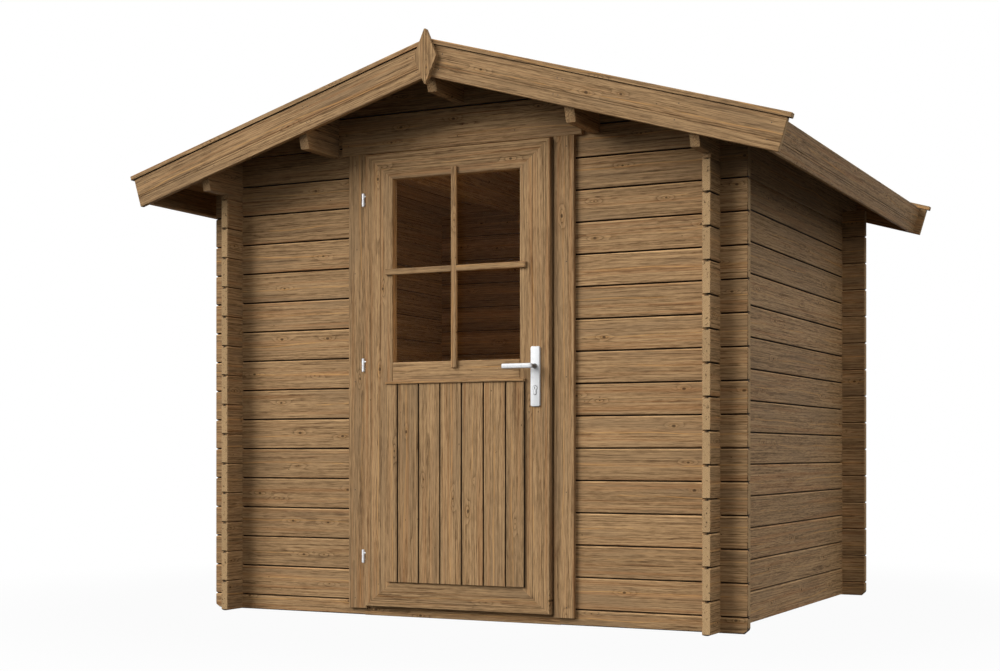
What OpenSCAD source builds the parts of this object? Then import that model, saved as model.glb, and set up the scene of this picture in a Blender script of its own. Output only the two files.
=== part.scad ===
// Log-built garden shed with a pitched board roof and a half-glazed door.
// Millimetres. X runs along the front, Y from front to back, Z up.
// The origin is on the ground, at the centre of the plan.

/* [Walls] */
// Width over the outer faces of the side walls
wall_w = 2100; // [2060:10:2200]
// Depth over the outer faces of the front and back walls
wall_d = 1762; // [1700:2:1800]
// Height of one log
log_h = 120; // [118:1:122]
// Thickness of a log
log_t = 34; // [30:1:38]
// Bevel along the edges of each log
log_bevel = 4; // [2:0.5:6]
// Length of the log ends past each corner
log_end = 102; // [80:1:120]
// Bevel under the ends of the half logs that stand on the ground
foot_cut = 17; // [10:1:24]
// Full logs in a side wall, below the eave purlin
log_count = 14; // [13:1:14]

/* [Roof] */
// Slope of the roof in degrees
roof_pitch = 16.4; // [15.5:0.1:17]
// Height of the underside of the roof boards at the ridge
ridge_h = 2148; // [2130:1:2160]
// Length of each slope from the ridge to the end of a barge board
slope_l = 1425; // [1380:1:1500]
// Thickness of the roof boards
roof_t = 16; // [14:1:22]
// Distance from a gable wall to the face of its barge board
gable_overhang = 257; // [230:1:280]
// Width of a barge board or fascia across the slope
barge_h = 117; // [100:1:130]
// Thickness of a barge board or fascia
barge_t = 20; // [16:1:24]
// How far the barge boards run past the fascias
barge_run = 30; // [20:1:40]
// Width of the groove planed along a barge board
bead_w = 5; // [3:1:8]
// Width of the capping strip on a barge board
cap_w = 30; // [26:1:46]
// Height of the capping strip
cap_h = 18; // [14:1:24]
// How far a capping strip stands past the barge board
cap_lip = 6; // [2:1:10]
// Width of the finial
finial_w = 95; // [80:1:110]
// Height of the finial
finial_h = 204; // [180:1:220]
// Thickness of the finial
finial_t = 20; // [16:1:24]
// Width of a purlin
purlin_w = 38; // [34:1:46]
// Depth of a purlin at its middle
purlin_h = 156; // [140:1:160]
// Distance of the middle purlins from the ridge
purlin_x = 565; // [555:1:600]
// Length of the slanted cut under a purlin's end
purlin_cut = 20; // [8:1:30]
// How much shallower an eave purlin is beyond the log ends
eave_step = 18; // [12:1:24]

/* [Floor] */
// Height of the floor bearers
bearer_h = 28; // [20:1:30]
// Width of a floor bearer
bearer_w = 45; // [35:1:60]
// Thickness of the floor boards
floor_t = 16; // [14:1:18]
// Gap between the floor and the walls
floor_gap = 4; // [2:1:8]

/* [Doorway] */
// Width cut out of the front wall
rough_w = 850; // [846:1:860]
// Height of the top of the cut-out
rough_top = 1840; // [1836:1:1846]
// Height of the log left under the doorway
sill_h = 28; // [24:1:34]
// Height of the threshold's top
threshold_h = 60; // [56:1:70]
// Clear width between the jambs
clear_w = 770; // [750:1:780]
// Clear height of the door head's underside
clear_top = 1800; // [1790:1:1806]
// Width of an outer or inner casing board
casing_w = 83; // [70:1:90]
// Thickness of a casing board
casing_t = 19; // [15:1:22]
// How far the head casing runs past the side casings
casing_ear = 31; // [20:1:42]
// Height of the outer head casing
head_casing_h = 78; // [70:1:90]

/* [Door leaf] */
// Width of the leaf
leaf_w = 800; // [790:1:804]
// Height of the leaf's lower edge
leaf_bottom = 40; // [36:1:46]
// Height of the leaf's upper edge
leaf_top = 1818; // [1812:1:1824]
// Thickness of the leaf
leaf_t = 34; // [30:1:40]
// Clearance between the leaf and its frame
leaf_gap = 5; // [5:0.5:6]
// Clearance between the leaf and the casings
side_gap = 6; // [5:0.5:8]
// Width of a stile
stile_w = 124; // [115:1:130]
// Width of the top rail
top_rail_h = 104; // [90:1:110]
// Width of the bottom rail
bottom_rail_h = 100; // [90:1:110]
// Height of the lower edge of the glass
glass_bottom = 997; // [985:1:1010]
// Width of the middle rail
mid_rail_h = 110; // [95:1:120]
// Thickness of the glass
glass_t = 4; // [3:1:6]
// Width of a glazing bar
bar_w = 23; // [18:1:30]
// Thickness of a glazing bar
bar_t = 12; // [8:1:14]
// How far a glazing bar laps over the frame
bar_lap = 27; // [15:1:35]
// Width of the boarded panel
panel_w = 600; // [590:1:610]
// Height of the panel's lower edge
panel_bottom = 139; // [130:1:144]
// Height of the panel's upper edge
panel_top = 912; // [900:1:915]
// How far the panel stands out of the leaf
panel_out = 11; // [8:1:14]
// How far the panel reaches into the leaf's frame
panel_in = 10; // [6:1:14]
// Height of the drip strip over the panel
drip_h = 12; // [8:1:16]
// How far the drip strip stands out of the leaf
drip_out = 18; // [15:1:22]

/* [Hinges] */
// Heights of the three hinges
hinge_z = [235, 990, 1643];
// Distance of the hinge axis from the edge of the leaf
hinge_out = 15; // [13:0.5:17]
// Distance of the hinge axis behind the leaf's face
hinge_set = 10; // [9:0.5:12]
// Radius of a hinge barrel
hinge_r = 6; // [5.5:0.5:7]
// Height of a hinge
hinge_h = 53; // [48:1:60]
// Radius of a hinge pin
hinge_pin_r = 3; // [2.6:0.1:3.2]
// Radius of the arms that hold a hinge
hinge_arm_r = 3; // [2.5:0.5:4]

/* [Lock] */
// Distance of the lock's centre line from the edge of the leaf
lock_in = 57; // [50:1:62]
// Width of a handle plate
plate_w = 38; // [34:1:42]
// Height of a handle plate
plate_h = 225; // [210:1:235]
// Height of a handle plate's lower edge
plate_z = 817; // [800:1:830]
// Thickness of a handle plate
plate_t = 8; // [6:1:10]
// Radius of a handle plate's corners
plate_r = 7; // [4:1:10]
// Height of the lever's axis
lever_z = 968; // [950:1:980]
// Length of the lever from its axis
lever_l = 118; // [100:1:130]
// Height of the lever's grip
lever_h = 19; // [16:1:22]
// Thickness of the lever's grip
lever_t = 12; // [10:1:14]
// Radius of the lever's neck
neck_r = 10; // [9:0.5:11]
// Distance from the plate to the lever's grip
neck_l = 37; // [32:1:42]
// Side of the square spindle
spindle = 8; // [7:1:9]
// Height of the lock cylinder's round part
cylinder_z = 886; // [876:1:892]
// Radius of the lock cylinder's round part
cylinder_r = 8.5; // [8:0.5:9]

/* [Hidden] */

// Colours of the finishes
log_colour = "#82674a";
trim_colour = "#8a6e4f";
roof_colour = "#7a5f43";
floor_colour = "#9a8260";
door_colour = "#876c4e";
glass_colour = "#a9b4b040";
metal_colour = "#c8cacb";

// Circles are smooth
$fn = 48;
// Extra length that lets a cutting shape pass right through
through = 2;

half_w = wall_w / 2;
half_d = wall_d / 2;
// Inner faces of the side walls and of the front and back walls
inner_x = half_w - log_t;
inner_y = half_d - log_t;
quarter = log_h / 4;
// The front and back walls start with half a log, so their joints lie half a log higher
wall_top = (log_count + 0.5) * log_h;
side_joints = [for (k = [1 : log_count - 1]) k * log_h];
cross_joints = [for (k = [0 : log_count - 1]) (k + 0.5) * log_h];
gable_joints = [for (k = [log_count + 1 : floor(ridge_h / log_h - 0.5)]) (k + 0.5) * log_h];

barge_face = half_d + gable_overhang;
barge_back = barge_face - barge_t;
// Upper and lower edges of a barge board, measured square to the slope from the boards' underside
barge_high = roof_t;
barge_low = roof_t - barge_h;
bead_n = barge_high - 0.6 * barge_h;
fascia_s = slope_l - barge_run;
deck_s = fascia_s - barge_t;
finial_mid = ridge_h - 36;

clear_x = clear_w / 2;
rough_x = rough_w / 2;
leaf_x = leaf_w / 2;
leaf_back = half_d + leaf_gap;
leaf_face = leaf_back + leaf_t;
casing_x = leaf_x + side_gap;
casing_y = half_d + casing_t;
head_casing_z = leaf_top + side_gap;
floor_top = bearer_h + floor_t;
opening_x = leaf_x - stile_w;
glass_top = leaf_top - top_rail_h;
glass_mid = (glass_bottom + glass_top) / 2 - 5;

hinge_x = leaf_x + hinge_out;
hinge_y = leaf_face - hinge_set;
// Gap between the two halves of a hinge, and around its pin
hinge_slack = 0.3;
hinge_half = hinge_h / 2;
lock_x = leaf_x - lock_in;
plate_face = leaf_face + plate_t;
plate_back = leaf_back - plate_t;
neck_slack = 0.5;
// The lock cylinder's flat part, its lower end and how far it stands past the plates
cylinder_w = 10;
cylinder_drop = 20;
cylinder_out = 3;
// Slack between the purlins and the roof boards they carry
purlin_seat = 0.2;

function roof_z(x) = ridge_h - abs(x) * tan(roof_pitch);

// ---------------------------------------------------------------- helpers

// A box given by its lowest and highest corners
module block(low, high) {
    translate(low) cube(high - low);
}

// The same solid on both sides of the middle plane
module both_sides() {
    children();
    mirror([1, 0, 0]) children();
}

// An outline drawn in X and Z, given thickness from y0 to y1
module along_y(y0, y1) {
    translate([0, y1, 0]) rotate([90, 0, 0]) linear_extrude(y1 - y0) children();
}

// An outline drawn in Y and Z, given thickness from x0 to x1
module along_x(x0, x1) {
    translate([x0, 0, 0]) rotate([90, 0, 90]) linear_extrude(x1 - x0) children();
}

// A round bar along Y
module round_y(x, z, y0, y1, r) {
    translate([x, y1, z]) rotate([90, 0, 0]) cylinder(h = y1 - y0, r = r);
}

// Carries a shape to the right-hand slope: X runs down the slope and Z stands square to it
module on_slope() {
    translate([0, 0, ridge_h]) rotate([0, roof_pitch, 0]) children();
}

// Keeps the part right of the middle plane, which mitres the two slopes at the ridge
module right_half() {
    intersection() {
        children();
        block([0, -ridge_h, 0], [ridge_h, ridge_h, 2 * ridge_h]);
    }
}

// ---------------------------------------------------------------- log walls

// Section through stacked logs, with a V groove on both faces at each joint
module log_section(middle, z0, z1, joints) {
    half = log_t / 2;
    deep = half - log_bevel;
    translate([middle, 0]) polygon(concat(
        [[-deep, z0], [deep, z0], [half, z0 + log_bevel]],
        [for (z = joints) each [[half, z - log_bevel], [deep, z], [half, z + log_bevel]]],
        [[half, z1 - log_bevel], [deep, z1], [-deep, z1], [-half, z1 - log_bevel]],
        [for (i = [len(joints) - 1 : -1 : 0]) each [
            [-half, joints[i] + log_bevel], [-deep, joints[i]], [-half, joints[i] - log_bevel]]],
        [[-half, z0 + log_bevel]]));
}

// Where a front or back wall crosses a side wall, it gives up the middle half of each side log
module cross_wall_notches() {
    for (k = [0 : log_count]) {
        block([inner_x, -half_d - through, (k + 0.5) * log_h - quarter],
              [half_w, -inner_y + through, (k + 0.5) * log_h + quarter]);
    }
}

// Where a side wall crosses a front or back wall, it gives up the joints between its own logs
module side_wall_notches() {
    for (k = [0 : log_count]) {
        block([inner_x - through, -half_d, k * log_h - quarter],
              [half_w + through, -inner_y, k * log_h + quarter]);
    }
}

module front_wall_logs(x0, x1) {
    along_x(x0, x1) log_section(-half_d + log_t / 2, 0, wall_top, cross_joints);
}

// The bevel under the end of the half log at the foot of a front or back wall
module foot_bevel() {
    x = half_w + log_end;
    along_y(-half_d - through, -inner_y + through) polygon([
        [x - foot_cut - through, -through], [x + through, -through], [x + through, foot_cut + through]]);
}

module front_wall_side() {
    difference() {
        front_wall_logs(rough_x, half_w + log_end);
        cross_wall_notches();
        foot_bevel();
    }
}

module front_wall_right() {
    color(log_colour) front_wall_side();
}

module front_wall_left() {
    color(log_colour) mirror([1, 0, 0]) front_wall_side();
}

module back_wall() {
    color(log_colour) mirror([0, 1, 0]) difference() {
        front_wall_logs(-half_w - log_end, half_w + log_end);
        both_sides() cross_wall_notches();
        both_sides() foot_bevel();
    }
}

// Outline of the triangle of logs under the roof, with the slots for the purlins
module gable_outline() {
    difference() {
        polygon([
            [-inner_x, wall_top], [inner_x, wall_top],
            [inner_x, roof_z(inner_x)], [0, ridge_h], [-inner_x, roof_z(inner_x)]]);
        for (x = [-purlin_x, 0, purlin_x]) {
            translate([x - purlin_w / 2, roof_z(x) - purlin_h]) square([purlin_w, 2 * purlin_h]);
        }
    }
}

module gable_logs() {
    intersection() {
        along_x(-inner_x, inner_x) log_section(-half_d + log_t / 2, wall_top, ridge_h + log_h, gable_joints);
        along_y(-half_d, -inner_y) gable_outline();
    }
}

module front_gable() {
    color(log_colour) difference() {
        gable_logs();
        block([-rough_x, -half_d - through, 0], [rough_x, -inner_y + through, rough_top]);
    }
}

module back_gable() {
    color(log_colour) mirror([0, 1, 0]) gable_logs();
}

module front_sill_log() {
    color(log_colour) block([-rough_x, -half_d, 0], [rough_x, -inner_y, sill_h]);
}

module side_wall() {
    difference() {
        along_y(-half_d - log_end, half_d + log_end)
            log_section(half_w - log_t / 2, 0, log_count * log_h, side_joints);
        side_wall_notches();
        mirror([0, 1, 0]) side_wall_notches();
    }
}

module right_wall() {
    color(log_colour) side_wall();
}

module left_wall() {
    color(log_colour) mirror([1, 0, 0]) side_wall();
}

// ---------------------------------------------------------------- roof

// Side view of a purlin: its lower edge is cut back at both ends
module purlin_side(z0) {
    z_cut = z0 + 3 * purlin_cut;
    polygon([
        [-barge_back + purlin_cut, z0], [barge_back - purlin_cut, z0], [barge_back, z_cut],
        [barge_back, ridge_h], [-barge_back, ridge_h], [-barge_back, z_cut]]);
}

// The top log of a side wall, which runs out under the roof and is shallower past the log ends
module eave_purlin() {
    z0 = log_count * log_h;
    y = half_d + log_end;
    difference() {
        intersection() {
            along_y(-barge_back, barge_back) polygon([
                [inner_x, z0], [half_w, z0],
                [half_w, roof_z(half_w) - purlin_seat], [inner_x, roof_z(inner_x) - purlin_seat]]);
            along_x(inner_x, half_w) union() {
                purlin_side(z0 + eave_step);
                translate([-y, z0]) square([2 * y, 2 * eave_step]);
            }
        }
        side_wall_notches();
        mirror([0, 1, 0]) side_wall_notches();
    }
}

module right_eave_purlin() {
    color(log_colour) eave_purlin();
}

module left_eave_purlin() {
    color(log_colour) mirror([1, 0, 0]) eave_purlin();
}

// A purlin whose top follows the roof, centred at x
module purlin(x) {
    x0 = x - purlin_w / 2;
    x1 = x + purlin_w / 2;
    z0 = roof_z(x) - purlin_h;
    peak = x == 0 ? [[0, ridge_h - purlin_seat]] : [];
    intersection() {
        along_y(-barge_back, barge_back) polygon(concat(
            [[x0, z0], [x1, z0], [x1, roof_z(x1) - purlin_seat]], peak, [[x0, roof_z(x0) - purlin_seat]]));
        along_x(x0, x1) purlin_side(z0);
    }
}

module mid_purlins() {
    color(log_colour) both_sides() purlin(purlin_x);
}

module ridge_purlin() {
    color(log_colour) purlin(0);
}

module roof_deck() {
    right_half() on_slope() block([-roof_t, -barge_back, 0], [deck_s, barge_back, roof_t]);
}

module right_roof_deck() {
    color(roof_colour) roof_deck();
}

module left_roof_deck() {
    color(roof_colour) mirror([1, 0, 0]) roof_deck();
}

// Section of a barge board or fascia, its outer face towards the left, with the planed groove
module barge_section(face) {
    polygon([
        [face, barge_low], [face + barge_t, barge_low], [face + barge_t, barge_high], [face, barge_high],
        [face, bead_n + bead_w / 2], [face + bead_w / 2, bead_n], [face, bead_n - bead_w / 2]]);
}

module barge() {
    right_half() on_slope() along_x(-barge_h, slope_l) barge_section(-barge_face);
}

module front_right_barge() {
    color(trim_colour) barge();
}

module front_left_barge() {
    color(trim_colour) mirror([1, 0, 0]) barge();
}

module back_right_barge() {
    color(trim_colour) mirror([0, 1, 0]) barge();
}

module back_left_barge() {
    color(trim_colour) mirror([1, 0, 0]) mirror([0, 1, 0]) barge();
}

module finial() {
    along_y(-barge_face - finial_t, -barge_face) polygon([
        [0, finial_mid - finial_h / 2], [finial_w / 2, finial_mid],
        [0, finial_mid + finial_h / 2], [-finial_w / 2, finial_mid]]);
}

module finials() {
    color(trim_colour) finial();
    color(trim_colour) mirror([0, 1, 0]) finial();
}

// Strip along the top of a barge board, cut round the finial
module capping() {
    front = -barge_face - cap_lip;
    difference() {
        right_half() on_slope()
            block([-cap_h, front, roof_t], [slope_l + 2 * cap_lip, front + cap_w, roof_t + cap_h]);
        finial();
    }
}

module front_right_capping() {
    color(trim_colour) capping();
}

module front_left_capping() {
    color(trim_colour) mirror([1, 0, 0]) capping();
}

module back_right_capping() {
    color(trim_colour) mirror([0, 1, 0]) capping();
}

module back_left_capping() {
    color(trim_colour) mirror([1, 0, 0]) mirror([0, 1, 0]) capping();
}

module fascia() {
    on_slope() mirror([1, 0, 0]) along_y(-barge_back, barge_back) barge_section(-fascia_s);
}

module fascias() {
    color(trim_colour) both_sides() fascia();
}

// ---------------------------------------------------------------- floor

module floor_boards() {
    x = inner_x - floor_gap;
    y = inner_y - floor_gap;
    color(floor_colour) block([-x, -y, bearer_h], [x, y, floor_top]);
}

module floor_bearers() {
    x = inner_x - floor_gap;
    step = (inner_y - 2 * bearer_w) / 2;
    color(floor_colour) for (k = [-2 : 2]) {
        block([-x, k * step - bearer_w / 2, 0], [x, k * step + bearer_w / 2, bearer_h]);
    }
}

// ---------------------------------------------------------------- doorway

module door_jambs() {
    color(trim_colour) both_sides() block([clear_x, -half_d, sill_h], [rough_x, -inner_y, rough_top]);
}

module door_head() {
    color(trim_colour) block([-clear_x, -half_d, clear_top], [clear_x, -inner_y, rough_top]);
}

module door_threshold() {
    color(trim_colour) block([-clear_x, -half_d, sill_h], [clear_x, -inner_y, threshold_h]);
}

module side_casings() {
    color(trim_colour) both_sides()
        block([casing_x, -casing_y, sill_h], [casing_x + casing_w, -half_d, head_casing_z]);
}

module head_casing() {
    x = casing_x + casing_w + casing_ear;
    color(trim_colour) block([-x, -casing_y, head_casing_z], [x, -half_d, head_casing_z + head_casing_h]);
}

module inner_side_casings() {
    color(trim_colour) both_sides()
        block([clear_x, -inner_y, floor_top], [clear_x + casing_w, -inner_y + casing_t, clear_top]);
}

module inner_head_casing() {
    x = clear_x + casing_w;
    color(trim_colour) block([-x, -inner_y, clear_top], [x, -inner_y + casing_t, clear_top + casing_w]);
}

// ---------------------------------------------------------------- door leaf

// Outline of the right-hand stile, mitred against the top and bottom rails
module stile_outline() {
    polygon([
        [leaf_x, leaf_bottom], [leaf_x, leaf_top],
        [opening_x, leaf_top - top_rail_h], [opening_x, leaf_bottom + bottom_rail_h]]);
}

// Outline of a rail with mitred ends; its long edge is at z_edge
module rail_outline(z_edge, z_inner) {
    polygon([[-leaf_x, z_edge], [leaf_x, z_edge], [opening_x, z_inner], [-opening_x, z_inner]]);
}

module leaf_board() {
    along_y(-leaf_face, -leaf_back) children();
}

module left_stile() {
    color(door_colour) mirror([1, 0, 0]) leaf_board() stile_outline();
}

module right_stile() {
    color(door_colour) difference() {
        leaf_board() stile_outline();
        round_y(lock_x, lever_z, -leaf_face - through, -leaf_back + through, neck_r - 1);
        along_y(-leaf_face - through, -leaf_back + through) cylinder_outline();
    }
}

module top_rail() {
    color(door_colour) leaf_board() rail_outline(leaf_top, leaf_top - top_rail_h);
}

module bottom_rail() {
    color(door_colour) leaf_board() rail_outline(leaf_bottom, leaf_bottom + bottom_rail_h);
}

module mid_rail() {
    color(door_colour) block(
        [-opening_x, -leaf_face, glass_bottom - mid_rail_h], [opening_x, -leaf_back, glass_bottom]);
}

module door_glass() {
    y = (leaf_face + leaf_back) / 2;
    color(glass_colour) block(
        [-opening_x, -y - glass_t / 2, glass_bottom], [opening_x, -y + glass_t / 2, glass_top]);
}

module glazing_bars() {
    half = bar_w / 2;
    x = opening_x + bar_lap;
    color(door_colour) union() {
        block([-half, -leaf_face - bar_t, glass_bottom - bar_lap], [half, -leaf_face, glass_top + bar_lap]);
        block([-x, -leaf_face - bar_t, glass_mid - half], [x, -leaf_face, glass_mid + half]);
    }
}

// Boards over the lower half: they lap over the frame and fill the space between its members
module door_panel() {
    x = panel_w / 2;
    color(door_colour) union() {
        block([-x, -leaf_face - panel_out, panel_bottom], [x, -leaf_face, panel_top]);
        block([-opening_x, -leaf_face, leaf_bottom + bottom_rail_h],
              [opening_x, -leaf_face + panel_in, glass_bottom - mid_rail_h]);
    }
}

module drip_strip() {
    x = panel_w / 2;
    color(door_colour) block([-x, -leaf_face - drip_out, panel_top], [x, -leaf_face, panel_top + drip_h]);
}

// ---------------------------------------------------------------- hinges and lock

// Lower halves of the hinges: barrel, pin and the arm that is screwed into the casing
module hinge_frame_halves() {
    color(metal_colour) for (z = hinge_z) union() {
        translate([-hinge_x, -hinge_y, z - hinge_half]) cylinder(h = hinge_half - hinge_slack, r = hinge_r);
        translate([-hinge_x, -hinge_y, z - hinge_half]) cylinder(h = hinge_h - 6, r = hinge_pin_r);
        round_y(-hinge_x, z - hinge_half / 2, -hinge_y, -casing_y, hinge_arm_r);
    }
}

// Upper halves of the hinges: barrel and the arm that is screwed into the leaf
module hinge_leaf_halves() {
    color(metal_colour) for (z = hinge_z) difference() {
        union() {
            translate([-hinge_x, -hinge_y, z + hinge_slack])
                cylinder(h = hinge_half - hinge_slack, r = hinge_r);
            translate([-hinge_x, -hinge_y, z + hinge_half / 2]) rotate([0, 90, 0])
                cylinder(h = hinge_out, r = hinge_arm_r);
        }
        translate([-hinge_x, -hinge_y, z - through])
            cylinder(h = hinge_half - 5 + through, r = hinge_pin_r + hinge_slack);
    }
}

// Outline of the lock cylinder: round above, with a flat part that has a round end below
module cylinder_outline() {
    translate([lock_x, cylinder_z]) circle(r = cylinder_r);
    translate([lock_x - cylinder_w / 2, cylinder_z - cylinder_drop]) square([cylinder_w, cylinder_drop]);
    translate([lock_x, cylinder_z - cylinder_drop]) circle(r = cylinder_w / 2);
}

module plate_outline() {
    x0 = lock_x - plate_w / 2;
    difference() {
        union() {
            translate([x0 + plate_r, plate_z]) square([plate_w - 2 * plate_r, plate_h]);
            translate([x0, plate_z + plate_r]) square([plate_w, plate_h - 2 * plate_r]);
            for (x = [x0 + plate_r, x0 + plate_w - plate_r]) {
                for (z = [plate_z + plate_r, plate_z + plate_h - plate_r]) {
                    translate([x, z]) circle(r = plate_r);
                }
            }
        }
        translate([lock_x, lever_z]) circle(r = neck_r + neck_slack);
        cylinder_outline();
    }
}

module outer_plate() {
    color(metal_colour) along_y(-plate_face, -leaf_face) plate_outline();
}

module inner_plate() {
    color(metal_colour) along_y(-leaf_back, -plate_back) plate_outline();
}

module lock_cylinder() {
    color(metal_colour) along_y(-plate_face - cylinder_out, -plate_back + cylinder_out) cylinder_outline();
}

// One grip from y0 to y1, with a round end at each side
module lever_grip(y0, y1) {
    end = lever_h / 2;
    along_y(y0, y1) union() {
        translate([lock_x, lever_z]) circle(r = neck_r);
        translate([lock_x - lever_l + end, lever_z - end]) square([lever_l - end, lever_h]);
        translate([lock_x - lever_l + end, lever_z]) circle(r = end);
    }
}

// Both grips and the square spindle that joins them through the leaf
module lever() {
    color(metal_colour) union() {
        lever_grip(-plate_face - neck_l - lever_t, -plate_face - neck_l);
        round_y(lock_x, lever_z, -plate_face - neck_l, -leaf_face - neck_slack, neck_r);
        translate([lock_x - spindle / 2, -leaf_face - plate_t, lever_z - spindle / 2])
            cube([spindle, leaf_t + 2 * plate_t, spindle]);
        round_y(lock_x, lever_z, -leaf_back + neck_slack, -plate_back + neck_l, neck_r);
        lever_grip(-plate_back + neck_l, -plate_back + neck_l + lever_t);
    }
}

front_wall_left();
front_wall_right();
front_gable();
front_sill_log();
back_wall();
back_gable();
left_wall();
right_wall();
left_eave_purlin();
right_eave_purlin();
mid_purlins();
ridge_purlin();
left_roof_deck();
right_roof_deck();
front_left_barge();
front_right_barge();
back_left_barge();
back_right_barge();
front_left_capping();
front_right_capping();
back_left_capping();
back_right_capping();
fascias();
finials();
floor_boards();
floor_bearers();
door_jambs();
door_head();
door_threshold();
side_casings();
head_casing();
inner_side_casings();
inner_head_casing();
left_stile();
right_stile();
top_rail();
mid_rail();
bottom_rail();
door_glass();
glazing_bars();
door_panel();
drip_strip();
hinge_frame_halves();
hinge_leaf_halves();
outer_plate();
inner_plate();
lock_cylinder();
lever();
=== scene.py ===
"""Looks of a log-built garden shed, set on its packed construction model.

Metres. X runs along the front, Y from front to back and Z up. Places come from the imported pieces' boxes.
"""

from __future__ import annotations

import logging
import math
import random
from collections.abc import Callable, Mapping, Sequence
from dataclasses import dataclass, field
from enum import Enum
from functools import cache

import bpy
from mathutils import Matrix, Vector


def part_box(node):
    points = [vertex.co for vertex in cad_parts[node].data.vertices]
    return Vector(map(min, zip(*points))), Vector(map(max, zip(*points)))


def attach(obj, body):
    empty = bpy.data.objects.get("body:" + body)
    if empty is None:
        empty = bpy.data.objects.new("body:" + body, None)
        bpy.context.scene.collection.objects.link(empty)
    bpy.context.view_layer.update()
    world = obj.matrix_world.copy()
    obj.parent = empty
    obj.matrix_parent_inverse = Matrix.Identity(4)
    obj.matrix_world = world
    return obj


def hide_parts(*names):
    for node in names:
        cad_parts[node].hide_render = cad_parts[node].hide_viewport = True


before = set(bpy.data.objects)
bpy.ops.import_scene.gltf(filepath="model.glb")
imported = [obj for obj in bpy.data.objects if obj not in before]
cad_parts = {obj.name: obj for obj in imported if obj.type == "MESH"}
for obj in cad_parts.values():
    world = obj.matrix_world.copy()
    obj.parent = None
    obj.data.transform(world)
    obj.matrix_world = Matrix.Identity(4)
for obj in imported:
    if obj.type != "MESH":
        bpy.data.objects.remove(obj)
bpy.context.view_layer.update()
LOG = logging.getLogger("shed")

Colour = tuple[float, float, float]
Outline = list[tuple[float, ...]]
Pair = tuple[float, float]

RIGHT = Vector((1.0, 0.0, 0.0))
BACK = Vector((0.0, 1.0, 0.0))
UP = Vector((0.0, 0.0, 1.0))
WHITE = (1.0, 1.0, 1.0)
MIRROR_X = Matrix.Scale(-1.0, 4, RIGHT)
MIRROR_Y = Matrix.Scale(-1.0, 4, BACK)


def tint(red: int, green: int, blue: int) -> Colour:
    """A display colour, each part from 0 to 255, as the linear colour that shaders use."""
    shares = [part / 255.0 for part in (red, green, blue)]
    return tuple(s / 12.92 if s <= 0.04045 else ((s + 0.055) / 1.055) ** 2.4 for s in shares)


def axes(origin: Vector, along: Vector, height: Vector) -> Matrix:
    """Places a board: its length, height and depth become world directions.

    Args:
        origin: Where the board's own zero point goes.
        along: Unit direction of its length.
        height: Unit direction of its height, at a right angle to along.

    Returns:
        The matrix that carries (along, height, depth) to the world.
    """
    place = Matrix((along, height, along.cross(height))).transposed().to_4x4()
    place.translation = origin
    return place


# ------------------------------------------------------------------ shaders


class Field:
    """A value or colour that varies over a surface: one output socket in a material's nodes."""

    def __init__(self, graph: Graph, socket: bpy.types.NodeSocket) -> None:
        """Wraps socket, which belongs to graph."""
        self.graph = graph
        self.socket = socket

    def _maths(self, operation: str, first: object, second: object) -> Field:
        """Adds a Math node that takes first and second."""
        return self.graph.add("ShaderNodeMath", {"operation": operation}, {0: first, 1: second})

    def __add__(self, other: Field | float) -> Field:
        """Sum."""
        return self._maths("ADD", self, other)

    def __radd__(self, other: float) -> Field:
        """Sum, with the number first."""
        return self._maths("ADD", other, self)

    def __sub__(self, other: Field | float) -> Field:
        """Difference."""
        return self._maths("SUBTRACT", self, other)

    def __rsub__(self, other: float) -> Field:
        """Difference, with the number first."""
        return self._maths("SUBTRACT", other, self)

    def __mul__(self, other: Field | float) -> Field:
        """Product."""
        return self._maths("MULTIPLY", self, other)

    def __rmul__(self, other: float) -> Field:
        """Product, with the number first."""
        return self._maths("MULTIPLY", other, self)

    def __truediv__(self, other: Field | float) -> Field:
        """Quotient."""
        return self._maths("DIVIDE", self, other)

    def __rtruediv__(self, other: float) -> Field:
        """Quotient, with the number first."""
        return self._maths("DIVIDE", other, self)

    def __pow__(self, other: Field | float) -> Field:
        """Power."""
        return self._maths("POWER", self, other)

    def __rpow__(self, other: float) -> Field:
        """Power, with the number first."""
        return self._maths("POWER", other, self)

    def fraction(self) -> Field:
        """What is left after the whole number."""
        return self._maths("FRACT", self, 0.0)

    def falloff(self, width: float) -> Field:
        """A bell that is one where this is zero and fades over width."""
        share = self * (1.0 / width)
        return self._maths("EXPONENT", share * share * -1.0, 0.0)

    def between(self, start: Field | float, end: Field | float) -> Field:
        """Zero at start, one at end, smooth and held outside."""
        inputs = {"Value": self, "From Min": start, "From Max": end}
        return self.graph.add("ShaderNodeMapRange", {"interpolation_type": "SMOOTHSTEP"}, inputs)


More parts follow.
